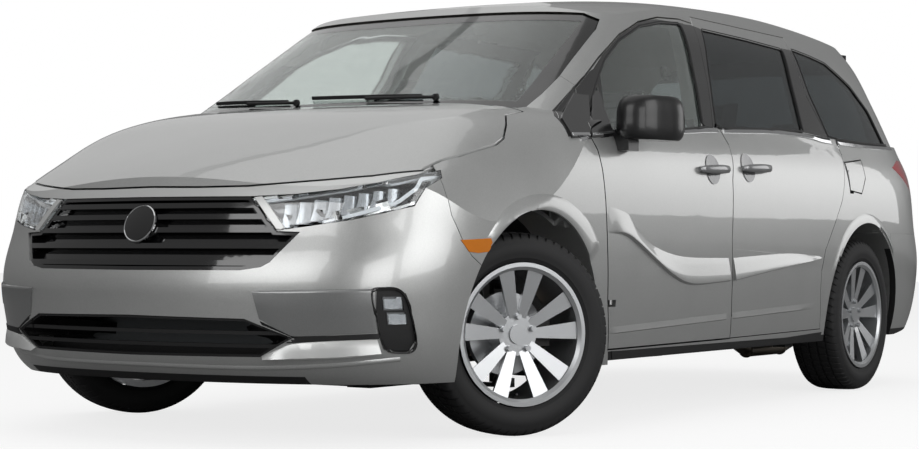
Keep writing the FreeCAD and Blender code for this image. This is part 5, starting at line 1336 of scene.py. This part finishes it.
@dataclass
class Wheel:
    """One wheel's detailed tyre, nuts, cap and valve, about its own axis."""

    maker: Maker
    place: str
    hub: Vector
    outward: float
    steered: bool
    body: str
    radius: float = 0.352
    half_width: float = 0.1175
    bead_radius: float = 0.2335
    pitches: int = 62
    nut_circle: float = 0.060
    face: float = 0.066

    def matrix(self) -> Matrix:
        """Give the wheel's place: its X axis points away from the car."""
        turn = 0.0 if self.outward > 0 else math.pi
        if self.steered:
            turn += math.radians(STEERED_DEGREES)
        return Matrix.Translation(self.hub) @ Matrix.Rotation(turn, 4, "Z")

    def tyre_profile(self) -> list[tuple[float, float, float]]:
        """Give half the tyre's section as place along the axis, radius and groove depth."""
        w, top, bead = self.half_width, self.radius, self.bead_radius
        rise = top - bead
        return [
            (0.84 * w, bead + 0.016, 0), (0.875 * w, bead + 0.018, 0), (0.905 * w, bead + 0.024, 0),
            (0.93 * w, bead + 0.028, 0), (0.945 * w, bead + 0.030, 0), (0.95 * w, bead + 0.034, 0),
            (0.972 * w, bead + rise * 0.37, 0), (0.988 * w, bead + rise * 0.45, 0), (
                0.985 * w, bead + rise * 0.55, 0
            ),
            (0.968 * w, bead + rise * 0.66, 0), (0.963 * w, bead + rise * 0.67, 0), (
                0.945 * w, bead + rise * 0.74, 0
            ),
            (
                0.915 * w, bead + rise * 0.82, 0.002
            ), (0.87 * w, bead + rise * 0.89, 0.005), (0.82 * w, top - 0.0095, 0.006),
            (0.74 * w, top - 0.0055, 0.006), (0.66 * w, top - 0.0035, 0.006), (
                0.565 * w, top - 0.002, 0.006
            ),
            (0.56 * w, top - 0.009, 0), (0.50 * w, top - 0.009, 0), (0.495 * w, top - 0.0015, 0.004),
            (0.36 * w, top - 0.0008, 0.004), (0.22 * w, top - 0.0004, 0.004), (0.215 * w, top - 0.008, 0),
            (0.13 * w, top - 0.008, 0), (0.125 * w, top - 0.0002, 0.003), (0.0, top, 0.003),
        ]

    def tyre(self) -> None:
        """Make the tyre with its tread blocks."""
        half = self.tyre_profile()
        w = self.half_width
        whole = [*half, *[(-x, r, d) for x, r, d in reversed(half[:-1])]]
        rings = []
        for pitch in range(self.pitches):
            for share, cut in ((0.0, 0), (0.05, 1), (0.22, 1), (0.27, 0)):
                ring = []
                for x, r, depth in whole:
                    slant = 0.9 * (x / w) ** 2 if x > 0 else -0.9 * (x / w) ** 2
                    angle = math.tau * (pitch + share + slant) / self.pitches
                    radius = r - depth * cut
                    ring.append(Vector((x, radius * math.cos(angle), radius * math.sin(angle))))
                inner = self.bead_radius + 0.030
                for x in (-0.80 * w, 0.0, 0.80 * w):
                    angle = math.tau * (
                        pitch + share + (0.9 if x > 0 else -0.9 if x < 0 else 0) * (x / w) ** 2
                    ) / self.pitches
                    ring.append(Vector((x, inner * math.cos(angle), inner * math.sin(angle))))
                rings.append(ring)
        shape = closed_loft(rings).moved(self.matrix())
        piece = self.maker.piece(
            "tyre_tread_" + self.place, shape, TYRE_RUBBER, self.body, "tyre_rubber", angle=28
        )
        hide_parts("tyre_" + self.place)

    def fastenings(self) -> None:
        """Make the five nuts, the bare centre cap and the valve."""
        nuts = Shape()
        face = self.face
        for number in range(5):
            angle = math.pi / 2 + math.tau * number / 5
            centre = Vector((face, self.nut_circle * math.cos(angle), self.nut_circle * math.sin(angle)))
            for profile, count in (
                (((-0.030, 0.0125), (-0.004, 0.0125), (0.0, 0.0105)), 6),
                (((-0.002, 0.0100), (0.002, 0.0085), (0.004, 0.0045), (0.0045, 0.0006)), 24),
                (((-0.030, 0.0150), (-0.020, 0.0150), (-0.019, 0.0135)), 24)
            ):
                nuts.add(turned(profile, count).moved(Matrix.Translation(centre)))
        self.maker.piece(
            "wheel_nuts_" + self.place, nuts.moved(self.matrix()), BRIGHT_CHROME, self.body, "bright_trim"
        )
        profile = (
            (-0.020, 0.0335), (0.000, 0.0335), (0.0025, 0.0325), (0.003, 0.030), (0.0022, 0.0285),
            (0.003, 0.026), (0.0045, 0.015), (0.005, 0.0005)
        )
        cap = turned([(face - 0.004 + a, r) for a, r in profile], 48)
        self.maker.piece(
            "centre_cap_" + self.place, cap.moved(self.matrix()), RIM_ALLOY, self.body, "rim_alloy"
        )
        stem = tube(
            [Vector((self.face - 0.03, 0.0, -0.215)), Vector((self.face + 0.0, 0.0, -0.207))], 0.004, 10
        )
        self.maker.piece(
            "valve_" + self.place, stem.moved(self.matrix()), BLACK_PLASTIC, self.body, "black_plastic"
        )

    def build(self) -> None:
        """Make the wheel's pieces."""
        self.tyre()
        self.fastenings()


@dataclass
class Sides:
    """Handles, belt strips, seals, mirror details and lower trims of both sides."""

    maker: Maker
    belt: tuple[Point, ...] = (
        (-1.29, 1.040), (-0.98, 1.072), (-0.62, 1.098), (-0.33, 1.118), (-0.165, 1.130), (0.05, 1.138),
        (0.44, 1.156), (0.70, 1.160), (0.90, 1.156), (1.02, 1.146),
        (1.20, 1.143), (1.52, 1.142), (1.93, 1.150),
    )
    belt_height: float = 0.0145
    sail_base: tuple[float, float, float] = (0.882, -1.286, 1.117)
    sail_normal: tuple[float, float, float] = (0.703, -0.124, 0.700)
    sail_lift: float = 0.009

    def strip(self, skin: Skin, start: float, end: float, drop: float, height: float, lift: float) -> Shape:
        """Make a strip along the belt between two stations.

        Args:
            skin: The side's faces.
            start: The front station.
            end: The rear station.
            drop: How far below the belt line it lies.
            height: Its height.
            lift: How far it stands proud.

        Returns:
            The strip on the left side.
        """
        line = [place for place in eased([(y, z) for y, z in self.belt], 160) if start <= place[0] <= end]
        upper = [(y, z - drop + height / 2) for y, z in line]
        lower = [(y, z - drop - height / 2) for y, z in line]
        return self.maker.patch(
            skin, upper, lower, lift, lift + 0.0015, 40, 3, lambda p: skin.side(p[0], p[1])
        )

    def on_sides(
        self, name: str, left: Shape, finish: Finish, bodies: tuple[str, str], slot: str, **extra: Any
    ) -> None:
        """Make a piece on the left side and its mirror image on the right."""
        self.maker.piece(name + "_left", left, finish, bodies[0], slot, **extra)
        self.maker.piece(name + "_right", left.mirrored(), finish, bodies[1], slot, **extra)

    def belts(self) -> None:
        """Make the bright belt strips and the black seals above them."""
        doors, fixed = ("door_left", "door_right"), ("body", "body")
        for name, nodes, start, end, bodies in (
            ("fender", ("front_fenders",), -1.275, -1.19, fixed),
            ("front_door", ("front_door_left",), -1.145, -0.062, doors),
            ("sliding_door", ("sliding_door_left",), -0.028, 1.135, fixed),
            ("quarter", ("body_shell",), 1.165, 1.93, fixed),
        ):
            skin = Skin(*nodes)
            bright = self.strip(skin, start, end, 0.0, self.belt_height, 0.0045)
            self.on_sides("belt_strip_" + name, bright, BRIGHT_CHROME, bodies, "bright_trim")
            if name != "fender":
                seal = self.strip(skin, start, end, -0.012, 0.009, 0.0035)
                self.on_sides("belt_seal_" + name, seal, BLACK_PLASTIC, bodies, "black_plastic")

    def handle(
        self, skin: Skin, y0: float, y1: float, cup_y: float, z: float, rise: float
    ) -> tuple[Shape, Shape]:
        """Make a door handle's bar and the cup behind it.

        Args:
            skin: The door's faces.
            y0: The bar's front end.
            y1: The bar's rear end.
            cup_y: The middle of the cup.
            z: The bar's height at its front.
            rise: How much higher its rear end is.

        Returns:
            The bar and the cup.
        """
        rings = []
        for step in range(25):
            share = step / 24
            y = y0 + (y1 - y0) * share
            level = z + rise * share
            place = skin.side(y, level)
            bulge = math.sin(math.pi * min(1.0, max(0.0, share))) ** 0.35
            stand = 0.004 + 0.026 * bulge
            tall = 0.0175 * (0.55 + 0.45 * bulge)
            ring = []
            for turn in range(16):
                a = math.tau * turn / 16
                ring.append(place + Vector((stand + 0.0075 * math.cos(a), 0, tall * math.sin(a))))
            rings.append(ring)
        bar = loft(rings, ring=True)
        for end in (0, 1):
            y = (y0 + 0.022, y1 - 0.022)[end]
            place = skin.side(y, z + rise * end)
            bar.add(
                turned(
                    [(-0.004, 0.012), (0.012, 0.011), (0.020, 0.010)], 20
                ).moved(Matrix.Translation(place))
            )
        rows = []
        for step in range(9):
            radius = step / 8
            row = []
            for turn in range(40):
                a = math.tau * turn / 40
                place = skin.side(
                    cup_y + 0.062 * radius * math.cos(a), z + 0.004 + 0.060 * radius * math.sin(a)
                )
                row.append(place + Vector((0.0028 - 0.0022 * (1 - radius**2), 0, 0)))
            rows.append(row)
        cup = loft(rows[::-1], ring=True)
        return bar, cup

    def handles(self) -> None:
        """Make the four door handles."""
        for name, node, y0, y1, cup_y, z, bodies in (
            ("front", "front_door_left", -0.365, -0.105, -0.235, 0.966, ("door_left", "door_right")),
            ("sliding", "sliding_door_left", 0.045, 0.312, 0.105, 0.985, ("body", "body")),
        ):
            bar, cup = self.handle(Skin(node), y0, y1, cup_y, z, 0.008)
            self.on_sides("door_handle_" + name, bar, HANDLE_GREY, bodies, "bright_trim")
            # The cups are drawn dark as painted shade in their hollows, on a flat patch rather than a real
            # dish.
            self.on_sides("door_handle_cup_" + name, cup, CUP_PAINTED_SHADE, bodies, "bright_trim")

    def mirrors(self) -> None:
        """Make the mirror glasses."""
        low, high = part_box("mirror_left")
        skin = Skin("mirror_left")
        rows = []
        middle = Vector(((low.x + high.x) / 2 + 0.035, high.y, (low.z + high.z) / 2 + 0.012))
        for step in range(7):
            radius = step / 6
            row = []
            for turn in range(36):
                a = math.tau * turn / 36
                x = middle.x + 0.078 * radius * math.copysign(abs(math.cos(a)) ** 0.55, math.cos(a))
                z = middle.z + 0.052 * radius * math.copysign(abs(math.sin(a)) ** 0.6, math.sin(a))
                row.append(skin.behind(x, z) + Vector((0, 0.0035, 0)))
            rows.append(row)
        glass = loft(rows[::-1], ring=True)
        self.on_sides("mirror_glass", glass, BRIGHT_CHROME, ("door_left", "door_right"), "clear_glass")

    def window_seals(self) -> None:
        """Make the black rubber seals round the side windows."""
        for name, node, outline, bodies in (
            (
                "front_door",
                "front_door_left",
                (
                    (-1.100, 1.080), (-1.025, 1.175), (-0.860, 1.310), (-0.776, 1.372), (-0.611, 1.462),
                    (-0.394, 1.539), (-0.182, 1.577), (0.020, 1.593), (-0.017, 1.456), (-0.083, 1.283),
                    (-0.149, 1.148), (-0.500, 1.115)
                ),
                ("door_left", "door_right"),
            ),
            (
                "sliding_door",
                "sliding_door_left",
                (
                    (-0.015, 1.149), (0.075, 1.315), (0.221, 1.586), (0.649, 1.582), (1.037, 1.571),
                    (0.971, 1.379), (0.906, 1.186), (0.536, 1.175)
                ),
                ("body", "body"),
            ),
            (
                "quarter",
                "body_shell",
                (
                    (1.167, 1.582), (1.356, 1.565), (1.516, 1.544), (1.749, 1.449), (1.892, 1.334),
                    (1.947, 1.173), (1.522, 1.161), (1.200, 1.165), (1.157, 1.368)
                ),
                ("body", "body"),
            ),
        ):
            skin = Skin(node)
            middle = Vector((sum(y for y, _ in outline), sum(z for _, z in outline))) / len(outline)
            line = resampled([*outline, outline[0]], 121)[:-1]
            rings = []
            for index, place in enumerate(line):
                run = (line[(index + 1) % 120] - line[index - 1]).normalized()
                out = Vector((-run.y, run.x))
                out = out if out.dot(place - middle) > 0 else -out
                edge = place + out * 0.009
                seat = skin.side(edge.x, edge.y)
                inner = Vector((seat.x, place.x - out.x * 0.003, place.y - out.y * 0.003))
                outer = Vector((seat.x, edge.x, edge.y))
                lift = Vector((0.0035, 0, 0))
                rings.append(
                    [
                        outer - lift * 0.5, outer + lift * 0.3, outer.lerp(inner, 0.35) + lift,
                        inner + lift * 0.4, inner - lift * 2
                    ]
                )
            seal = closed_loft(rings)
            self.on_sides("window_seal_" + name, seal, BLACK_PLASTIC, bodies, "black_plastic")

    def creases(self) -> None:
        """Make the pressed sweep and the sill crease of the doors."""
        for name, node, upper, lower, fade, bodies in (
            (
                "front",
                "front_door_left",
                ((609, 206), (628, 214), (638, 229), (653, 245), (672, 254), (692, 257.5), (728.5, 258)),
                ((609, 233), (624, 235), (638, 245), (654, 260), (673, 277), (692, 285), (728.5, 281.5)),
                (0.10, 0.0),
                ("door_left", "door_right"),
            ),
            (
                "sliding",
                "sliding_door_left",
                ((733.5, 258), (760, 255.5), (790, 253.5), (815, 255.5), (824, 258)),
                ((733.5, 281), (760, 274), (790, 266.5), (815, 260.5), (824, 259)),
                (0.0, 0.20),
                ("body", "body"),
            ),
        ):
            skin = Skin(node)
            sweep = self.maker.ridge(skin, upper, lower, SWEPT_RIDGE, 60, fade=fade)
            self.on_sides("door_sweep_" + name, sweep, SILVER_PAINT, bodies, "body_paint", angle=30)
        for name, node, start, end, fade, bodies in (
            ("front", "front_door_left", -1.06, -0.075, (0.06, 0.0), ("door_left", "door_right")),
            ("sliding", "sliding_door_left", -0.020, 0.86, (0.0, 0.3), ("body", "body")),
        ):
            skin = Skin(node)
            rise = 0.030
            upper = [
                (
                    start + (end - start) * s / 4, 0.392 + rise * (start + (end - start) * s / 4)
                ) for s in range(5)
            ]
            lower = [(y, z - 0.026) for y, z in upper]
            crease = self.maker.ridge(
                skin, upper, lower, SILL_CREASE, 40, lambda p: skin.side(p[0], p[1]), fade
            )
            self.on_sides("sill_crease_" + name, crease, SILVER_PAINT, bodies, "body_paint", angle=30)

    def flares(self) -> None:
        """Make the raised lips round the wheel arches."""
        for name, nodes, hub, inner, outer in (
            (
                "front",
                ("front_fenders", "front_bumper"),
                FRONT_HUB,
                0.4285,
                (
                    (35, 0.515), (48, 0.512), (62, 0.500), (80, 0.488), (100, 0.478), (120, 0.472),
                    (136, 0.462)
                ),
            ),
            (
                "rear",
                ("body_shell", "sliding_door_left", "rear_bumper"),
                REAR_HUB,
                0.4235,
                ((38, 0.462), (60, 0.466), (90, 0.470), (120, 0.472), (140, 0.468), (158, 0.462)),
            ),
        ):
            skin = Skin(*nodes)
            spread = eased(outer, 60)
            upper, lower = [], []
            for place in spread:
                a = math.radians(place[0])
                upper.append((hub[0] + place[1] * math.cos(a), hub[1] + place[1] * math.sin(a)))
                lower.append((hub[0] + inner * math.cos(a), hub[1] + inner * math.sin(a)))
            flare = self.maker.ridge(
                skin, upper, lower, ARCH_FLARE, 72, lambda p: skin.side(p[0], p[1]), (0.06, 0.06)
            )
            self.on_sides(
                "arch_flare_" + name, flare, SILVER_PAINT, ("body", "body"), "body_paint", angle=30
            )

    def sails(self) -> None:
        """Make the gloss-black covers ahead of the front door's glass, on one leaning plane."""
        base = Vector(self.sail_base)
        out = Vector(self.sail_normal).normalized()
        for name, front, rear, bodies in (
            (
                "fixed", ((576, 88), (560, 118), (572, 137.5)), ((586, 80), (588.6, 110), (589.2, 137.5)),
                ("body", "body")
            ),
            (
                "door", ((591.5, 86), (591.2, 112), (591.2, 137.2)), ((597, 88), (604, 112), (613, 135)),
                ("door_left", "door_right")
            ),
        ):
            places = []
            for start, end in zip(resampled(front, 14), resampled(rear, 14)):
                row = []
                for step in range(8):
                    at = start.lerp(end, step / 7)
                    eye, line = self.maker.camera.ray(at.x, at.y)
                    row.append(eye + line * ((base - eye).dot(out) / line.dot(out)))
                places.append(row)
            cover = plate(places, [[out] * 8 for _ in places], self.sail_lift, 0.014)
            self.on_sides("sail_cover_" + name, cover, BLACK_GLOSS, bodies, "black_gloss", bevel=0.001)
            foot = places[-1]
            rise = (places[-2][0] - foot[0]).normalized() * self.belt_height
            strip = plate(
                [[place + rise for place in foot], foot], [[out] * 8] * 2, self.sail_lift + 0.004, 0.006
            )
            self.on_sides("sail_strip_" + name, strip, BRIGHT_CHROME, bodies, "bright_trim", bevel=0.001)

    def sills(self) -> None:
        """Make the black sill covers below the doors."""
        skin = Skin("body_shell")
        upper = ((-1.02, 0.272), (-0.4, 0.266), (0.4, 0.266), (0.95, 0.284))
        lower = ((-1.00, 0.240), (-0.4, 0.238), (0.4, 0.238), (0.94, 0.252))
        cover = self.maker.patch(skin, upper, lower, 0.003, 0.005, 40, 4, lambda p: skin.side(p[0], p[1]))
        self.on_sides("sill_cover", cover, BLACK_PLASTIC, ("body", "body"), "black_plastic")

    def build(self) -> None:
        """Make every side piece."""
        self.belts()
        self.handles()
        self.mirrors()
        self.window_seals()
        self.creases()
        self.flares()
        self.sails()
        self.sills()


@dataclass
class Seat:
    """One padded seat: cushion, backrest and head restraint inside its solid's space."""

    maker: Maker
    name: str
    low: Vector
    high: Vector
    cushion_level: float
    back_front: float
    back_lean: float = 0.16

    def pad(self, size: Vector, crown: float, pull: float) -> Shape:
        """Make a crowned pad with bolsters and sewn channels.

        Args:
            size: Its width, length and thickness.
            crown: How much its middle rises.
            pull: How much its sides draw in between the corners.

        Returns:
            The pad, lying flat about its own middle.
        """
        rows = []
        across, along = 28, 24
        for j in range(along + 1):
            v = j / along * 2 - 1
            top, bottom = [], []
            for i in range(across + 1):
                u = i / across * 2 - 1
                x = u * size.x / 2 * (1 - pull * (1 - v * v))
                y = v * size.y / 2 * (1 - pull * (1 - u * u))
                edge = (1 - abs(u) ** 6) * (1 - abs(v) ** 6)
                bolster = 0.30 * math.exp(-(((abs(u) - 0.82) / 0.13) ** 2))
                seam = 0.10 * math.exp(-(((abs(u) - 0.60) / 0.025) ** 2))
                for channel in (-0.45, 0.0, 0.45):
                    seam += 0.07 * math.exp(-(((v - channel) / 0.03) ** 2)) * (abs(u) < 0.6)
                z = size.z * (0.5 * edge**0.35 + crown * edge + bolster * edge**0.5 - seam)
                top.append(Vector((x, y, z)))
                bottom.append(Vector((x * 0.98, y * 0.98, -size.z / 2 * edge**0.25)))
            rows.append([*top, *reversed(bottom)])
        return loft(rows, ring=True)

    def swell(self, piece: bpy.types.Object) -> None:
        """Let the pad's cover swell over its filling, by a short cloth simulation."""
        mesh = piece.data
        before = [vertex.co.copy() for vertex in mesh.vertices]
        cloth = piece.modifiers.new("cover", "CLOTH")
        cloth.settings.use_pressure = True
        cloth.settings.uniform_pressure_force = 4.0
        cloth.settings.effector_weights.gravity = 0.0
        cloth.settings.quality = 4
        scene = bpy.context.scene
        cloth.point_cache.frame_start = 1
        cloth.point_cache.frame_end = 12
        for step in range(1, 13):
            scene.frame_set(step)
        graph = bpy.context.evaluated_depsgraph_get()
        swollen = [vertex.co.copy() for vertex in piece.evaluated_get(graph).data.vertices]
        piece.modifiers.remove(cloth)
        scene.frame_set(1)
        if len(swollen) != len(before):
            return
        for vertex, old, new in zip(mesh.vertices, before, swollen):
            step_out = new - old
            if step_out.length > 0.012:
                step_out = step_out.normalized() * 0.012
            vertex.co = old + step_out

    def build(self) -> list[bpy.types.Object]:
        """Make the seat's pieces and give them back."""
        wide = self.high.x - self.low.x
        middle = (self.low.x + self.high.x) / 2
        deep = self.back_front - self.low.y
        cushion = self.pad(Vector((wide * 0.95, deep * 0.97, 0.13)), 0.14, 0.05)
        cushion = cushion.moved(
            Matrix.Translation(Vector((middle, self.low.y + deep * 0.49, self.cushion_level - 0.09)))
        )
        tall = self.high.z - 0.20 - self.cushion_level
        back = self.pad(Vector((wide * 0.92, tall, 0.12)), 0.10, 0.05)
        lean = Matrix.Rotation(math.pi / 2 - self.back_lean, 4, "X")
        centre = Vector(
            (
                middle, self.back_front + 0.075 + tall * 0.5 * math.sin(self.back_lean),
                self.cushion_level + tall * 0.46
            )
        )
        back = back.moved(Matrix.Translation(centre) @ lean)
        head = self.pad(Vector((0.25, 0.17, 0.085)), 0.16, 0.06)
        head_at = Vector((middle, self.high.y - 0.10, self.high.z - 0.11))
        head = head.moved(Matrix.Translation(head_at) @ lean)
        base = Shape()
        plinth = [
            (self.low.x + 0.05, self.low.y + 0.06), (self.high.x - 0.05, self.low.y + 0.06),
            (self.high.x - 0.05, self.back_front), (self.low.x + 0.05, self.back_front)
        ]
        base.add(
            loft(
                [[Vector((x, y, z)) for x, y in plinth] for z in (self.low.z, self.cushion_level - 0.10)],
                ring=True
            )
        )
        pieces = []
        for part, shape in (("cushion", cushion), ("backrest", back), ("headrest", head)):
            piece = self.maker.piece(
                f"{self.name}_{part}", shape, SEAT_CLOTH, "body", "seat_cloth", angle=80
            )
            self.swell(piece)
            pieces.append(piece)
        pieces.append(
            self.maker.piece(f"{self.name}_base", base, DASH_PLASTIC, "body", "dash_plastic", bevel=0.01)
        )
        posts = Shape()
        for side in (-0.06, 0.06):
            foot = Vector((middle + side, head_at.y - 0.03, head_at.z - 0.16))
            posts.add(tube([foot, foot + Vector((0, 0.03, 0.13))], 0.006, 10))
        pieces.append(self.maker.piece(f"{self.name}_posts", posts, BARE_STEEL, "body", "bare_steel"))
        return pieces


@dataclass
class Cabin:
    """Seats, a centre display and the instrument hood, seen through the glass."""

    maker: Maker

    def seats(self) -> None:
        """Make the padded seats over the seat solids."""
        front: list[bpy.types.Object] = []
        rear: list[bpy.types.Object] = []
        low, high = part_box("front_seats")
        for name, side in (("driver", 1), ("passenger", -1)):
            inner, outer = 0.12, high.x
            x0, x1 = (inner, outer) if side > 0 else (-outer, -inner)
            seat = Seat(
                self.maker, name + "_seat", Vector((x0, low.y, low.z)), Vector((x1, high.y, high.z)), 0.66,
                -0.22
            )
            front += seat.build()
        low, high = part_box("rear_seats")
        for row, y0, y1, places in (
            ("second", low.y, low.y + 0.85, ((0.14, high.x), (-high.x, -0.14))),
            (
                "third", high.y - 0.85, high.y,
                ((0.20, high.x * 0.93), (-0.20, 0.20), (-high.x * 0.93, -0.20))
            ),
        ):
            for number, (x0, x1) in enumerate(places):
                seat = Seat(
                    self.maker, f"{row}_row_seat_{number + 1}", Vector((x0, y0, low.z)),
                    Vector((x1, y1, high.z - (0.04 if row == "third" else 0.0))), 0.66, y0 + 0.50
                )
                rear += seat.build()
        for piece in front:
            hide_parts("front_seats")
        for piece in rear:
            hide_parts("rear_seats")

    def cockpit(self) -> None:
        """Make the centre display and the instrument hood on the dashboard."""
        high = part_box("dashboard")[1]
        screen = loft(
            [
                [
                    Vector((x, y, z)) for x,
                    z in (
                        (-0.13, high.z - 0.115), (0.13, high.z - 0.115), (0.13, high.z + 0.035),
                        (-0.13, high.z + 0.035)
                    )
                ] for y in (high.y - 0.20, high.y - 0.185)
            ],
            ring=True,
        )
        self.maker.piece("centre_display", screen, DISPLAY, "body", "black_gloss", bevel=0.004)
        hood = loft(
            [
                [
                    Vector((0.38 + x, y, high.z + z)) for x,
                    z in ((-0.17, -0.05), (0.17, -0.05), (0.15, 0.03), (0.0, 0.045), (-0.15, 0.03))
                ] for y in (high.y - 0.30, high.y - 0.16)
            ],
            ring=True,
        )
        self.maker.piece("instrument_hood", hood, DASH_PLASTIC, "body", "dash_plastic", bevel=0.008)

    def build(self) -> None:
        """Make every cabin piece."""
        self.seats()
        self.cockpit()


@dataclass
class Rear:
    """Handle bar, plate plinth, wiper and reflectors at the tail."""

    maker: Maker

    def bars(self) -> None:
        """Make the bright handle bar, the bare plate plinth and the reflectors."""
        make = self.maker
        skin = Skin("tailgate", "rear_bumper")
        look = lambda point: skin.behind(point[0], point[1])
        bar = make.patch(
            skin, ((-0.46, 0.985), (0.0, 0.992), (0.46, 0.985)),
            ((-0.45, 0.958), (0.0, 0.965), (0.45, 0.958)), 0.010, 0.012, 30, 4, look
        )
        make.piece("tailgate_bar", bar, SATIN_CHROME, "tailgate", "bright_trim", bevel=0.002)
        plate = make.patch(
            skin, ((-0.27, 0.935), (0.27, 0.935)), ((-0.27, 0.80), (0.27, 0.80)), 0.003, 0.005, 16, 6, look
        )
        make.piece("plate_plinth", plate, BLACK_PLASTIC, "tailgate", "black_plastic", bevel=0.003)
        skin = Skin("rear_bumper")
        reflector = make.patch(
            skin, ((0.56, 0.46), (0.76, 0.465)), ((0.56, 0.43), (0.76, 0.435)), 0.003, 0.006, 12, 3, look
        )
        make.piece("rear_reflectors", reflector.both(), RED_LENS, "body", "lamp_red", bevel=0.001)

    def wiper(self) -> None:
        """Make the rear wiper."""
        skin = Skin("tailgate_glass")
        path = []
        for step in range(13):
            share = step / 12
            path.append(
                skin.behind(
                    0.0 + 0.36 * share, 1.215 + 0.04 * share
                ) + Vector((0, 0.020 - 0.008 * share, 0))
            )
        arm = tube(path, 0.006, 8)
        arm.add(
            turned([(0, 0.020), (0.012, 0.020), (0.018, 0.012), (0.020, 0.001)], 24).moved(
                Matrix.Translation(path[0] + Vector((0, -0.014, 0))) @ Matrix.Rotation(math.pi / 2, 4, "Z")
            )
        )
        self.maker.piece("rear_wiper", arm, BLACK_PLASTIC, "tailgate", "black_plastic")

    def build(self) -> None:
        """Make every tail piece."""
        self.bars()
        self.wiper()


def dress_solids(dresser: Dresser) -> None:
    """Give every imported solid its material."""
    for name, (finish, zones) in CAD_DRESS.items():
        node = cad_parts[name]
        material = dresser.material(finish, zones)
        node.data.materials.clear()
        node.data.materials.append(material)
        LOG.info("%s: %s", name, finish.name)


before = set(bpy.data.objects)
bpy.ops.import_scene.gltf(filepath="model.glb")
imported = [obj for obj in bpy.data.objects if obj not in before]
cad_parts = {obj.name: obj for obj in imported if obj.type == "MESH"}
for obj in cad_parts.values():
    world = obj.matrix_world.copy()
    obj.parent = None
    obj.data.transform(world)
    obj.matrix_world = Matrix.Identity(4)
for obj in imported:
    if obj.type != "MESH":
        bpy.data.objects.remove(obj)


def main() -> None:
    """Dress the van and set the studio."""
    logging.basicConfig(level=logging.INFO)
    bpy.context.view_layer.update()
    dresser = Dresser()
    camera = PhotoCamera()
    camera.build()
    Studio().build()
    dress_solids(dresser)
    maker = Maker(dresser, camera)
    Nose(maker).build()
    Sides(maker).build()
    for place, x, y, steered, body in (
        ("front_left", 0.855, FRONT_HUB, True, "wheel_front_left"),
        ("front_right", -0.855, FRONT_HUB, True, "wheel_front_right"),
        ("rear_left", 0.855, REAR_HUB, False, "wheel_rear_left"),
        ("rear_right", -0.855, REAR_HUB, False, "wheel_rear_right"),
    ):
        Wheel(maker, place, Vector((x, *y)), x, steered, body).build()
    Cabin(maker).build()
    Rear(maker).build()


if __name__ == "__main__":
    main()
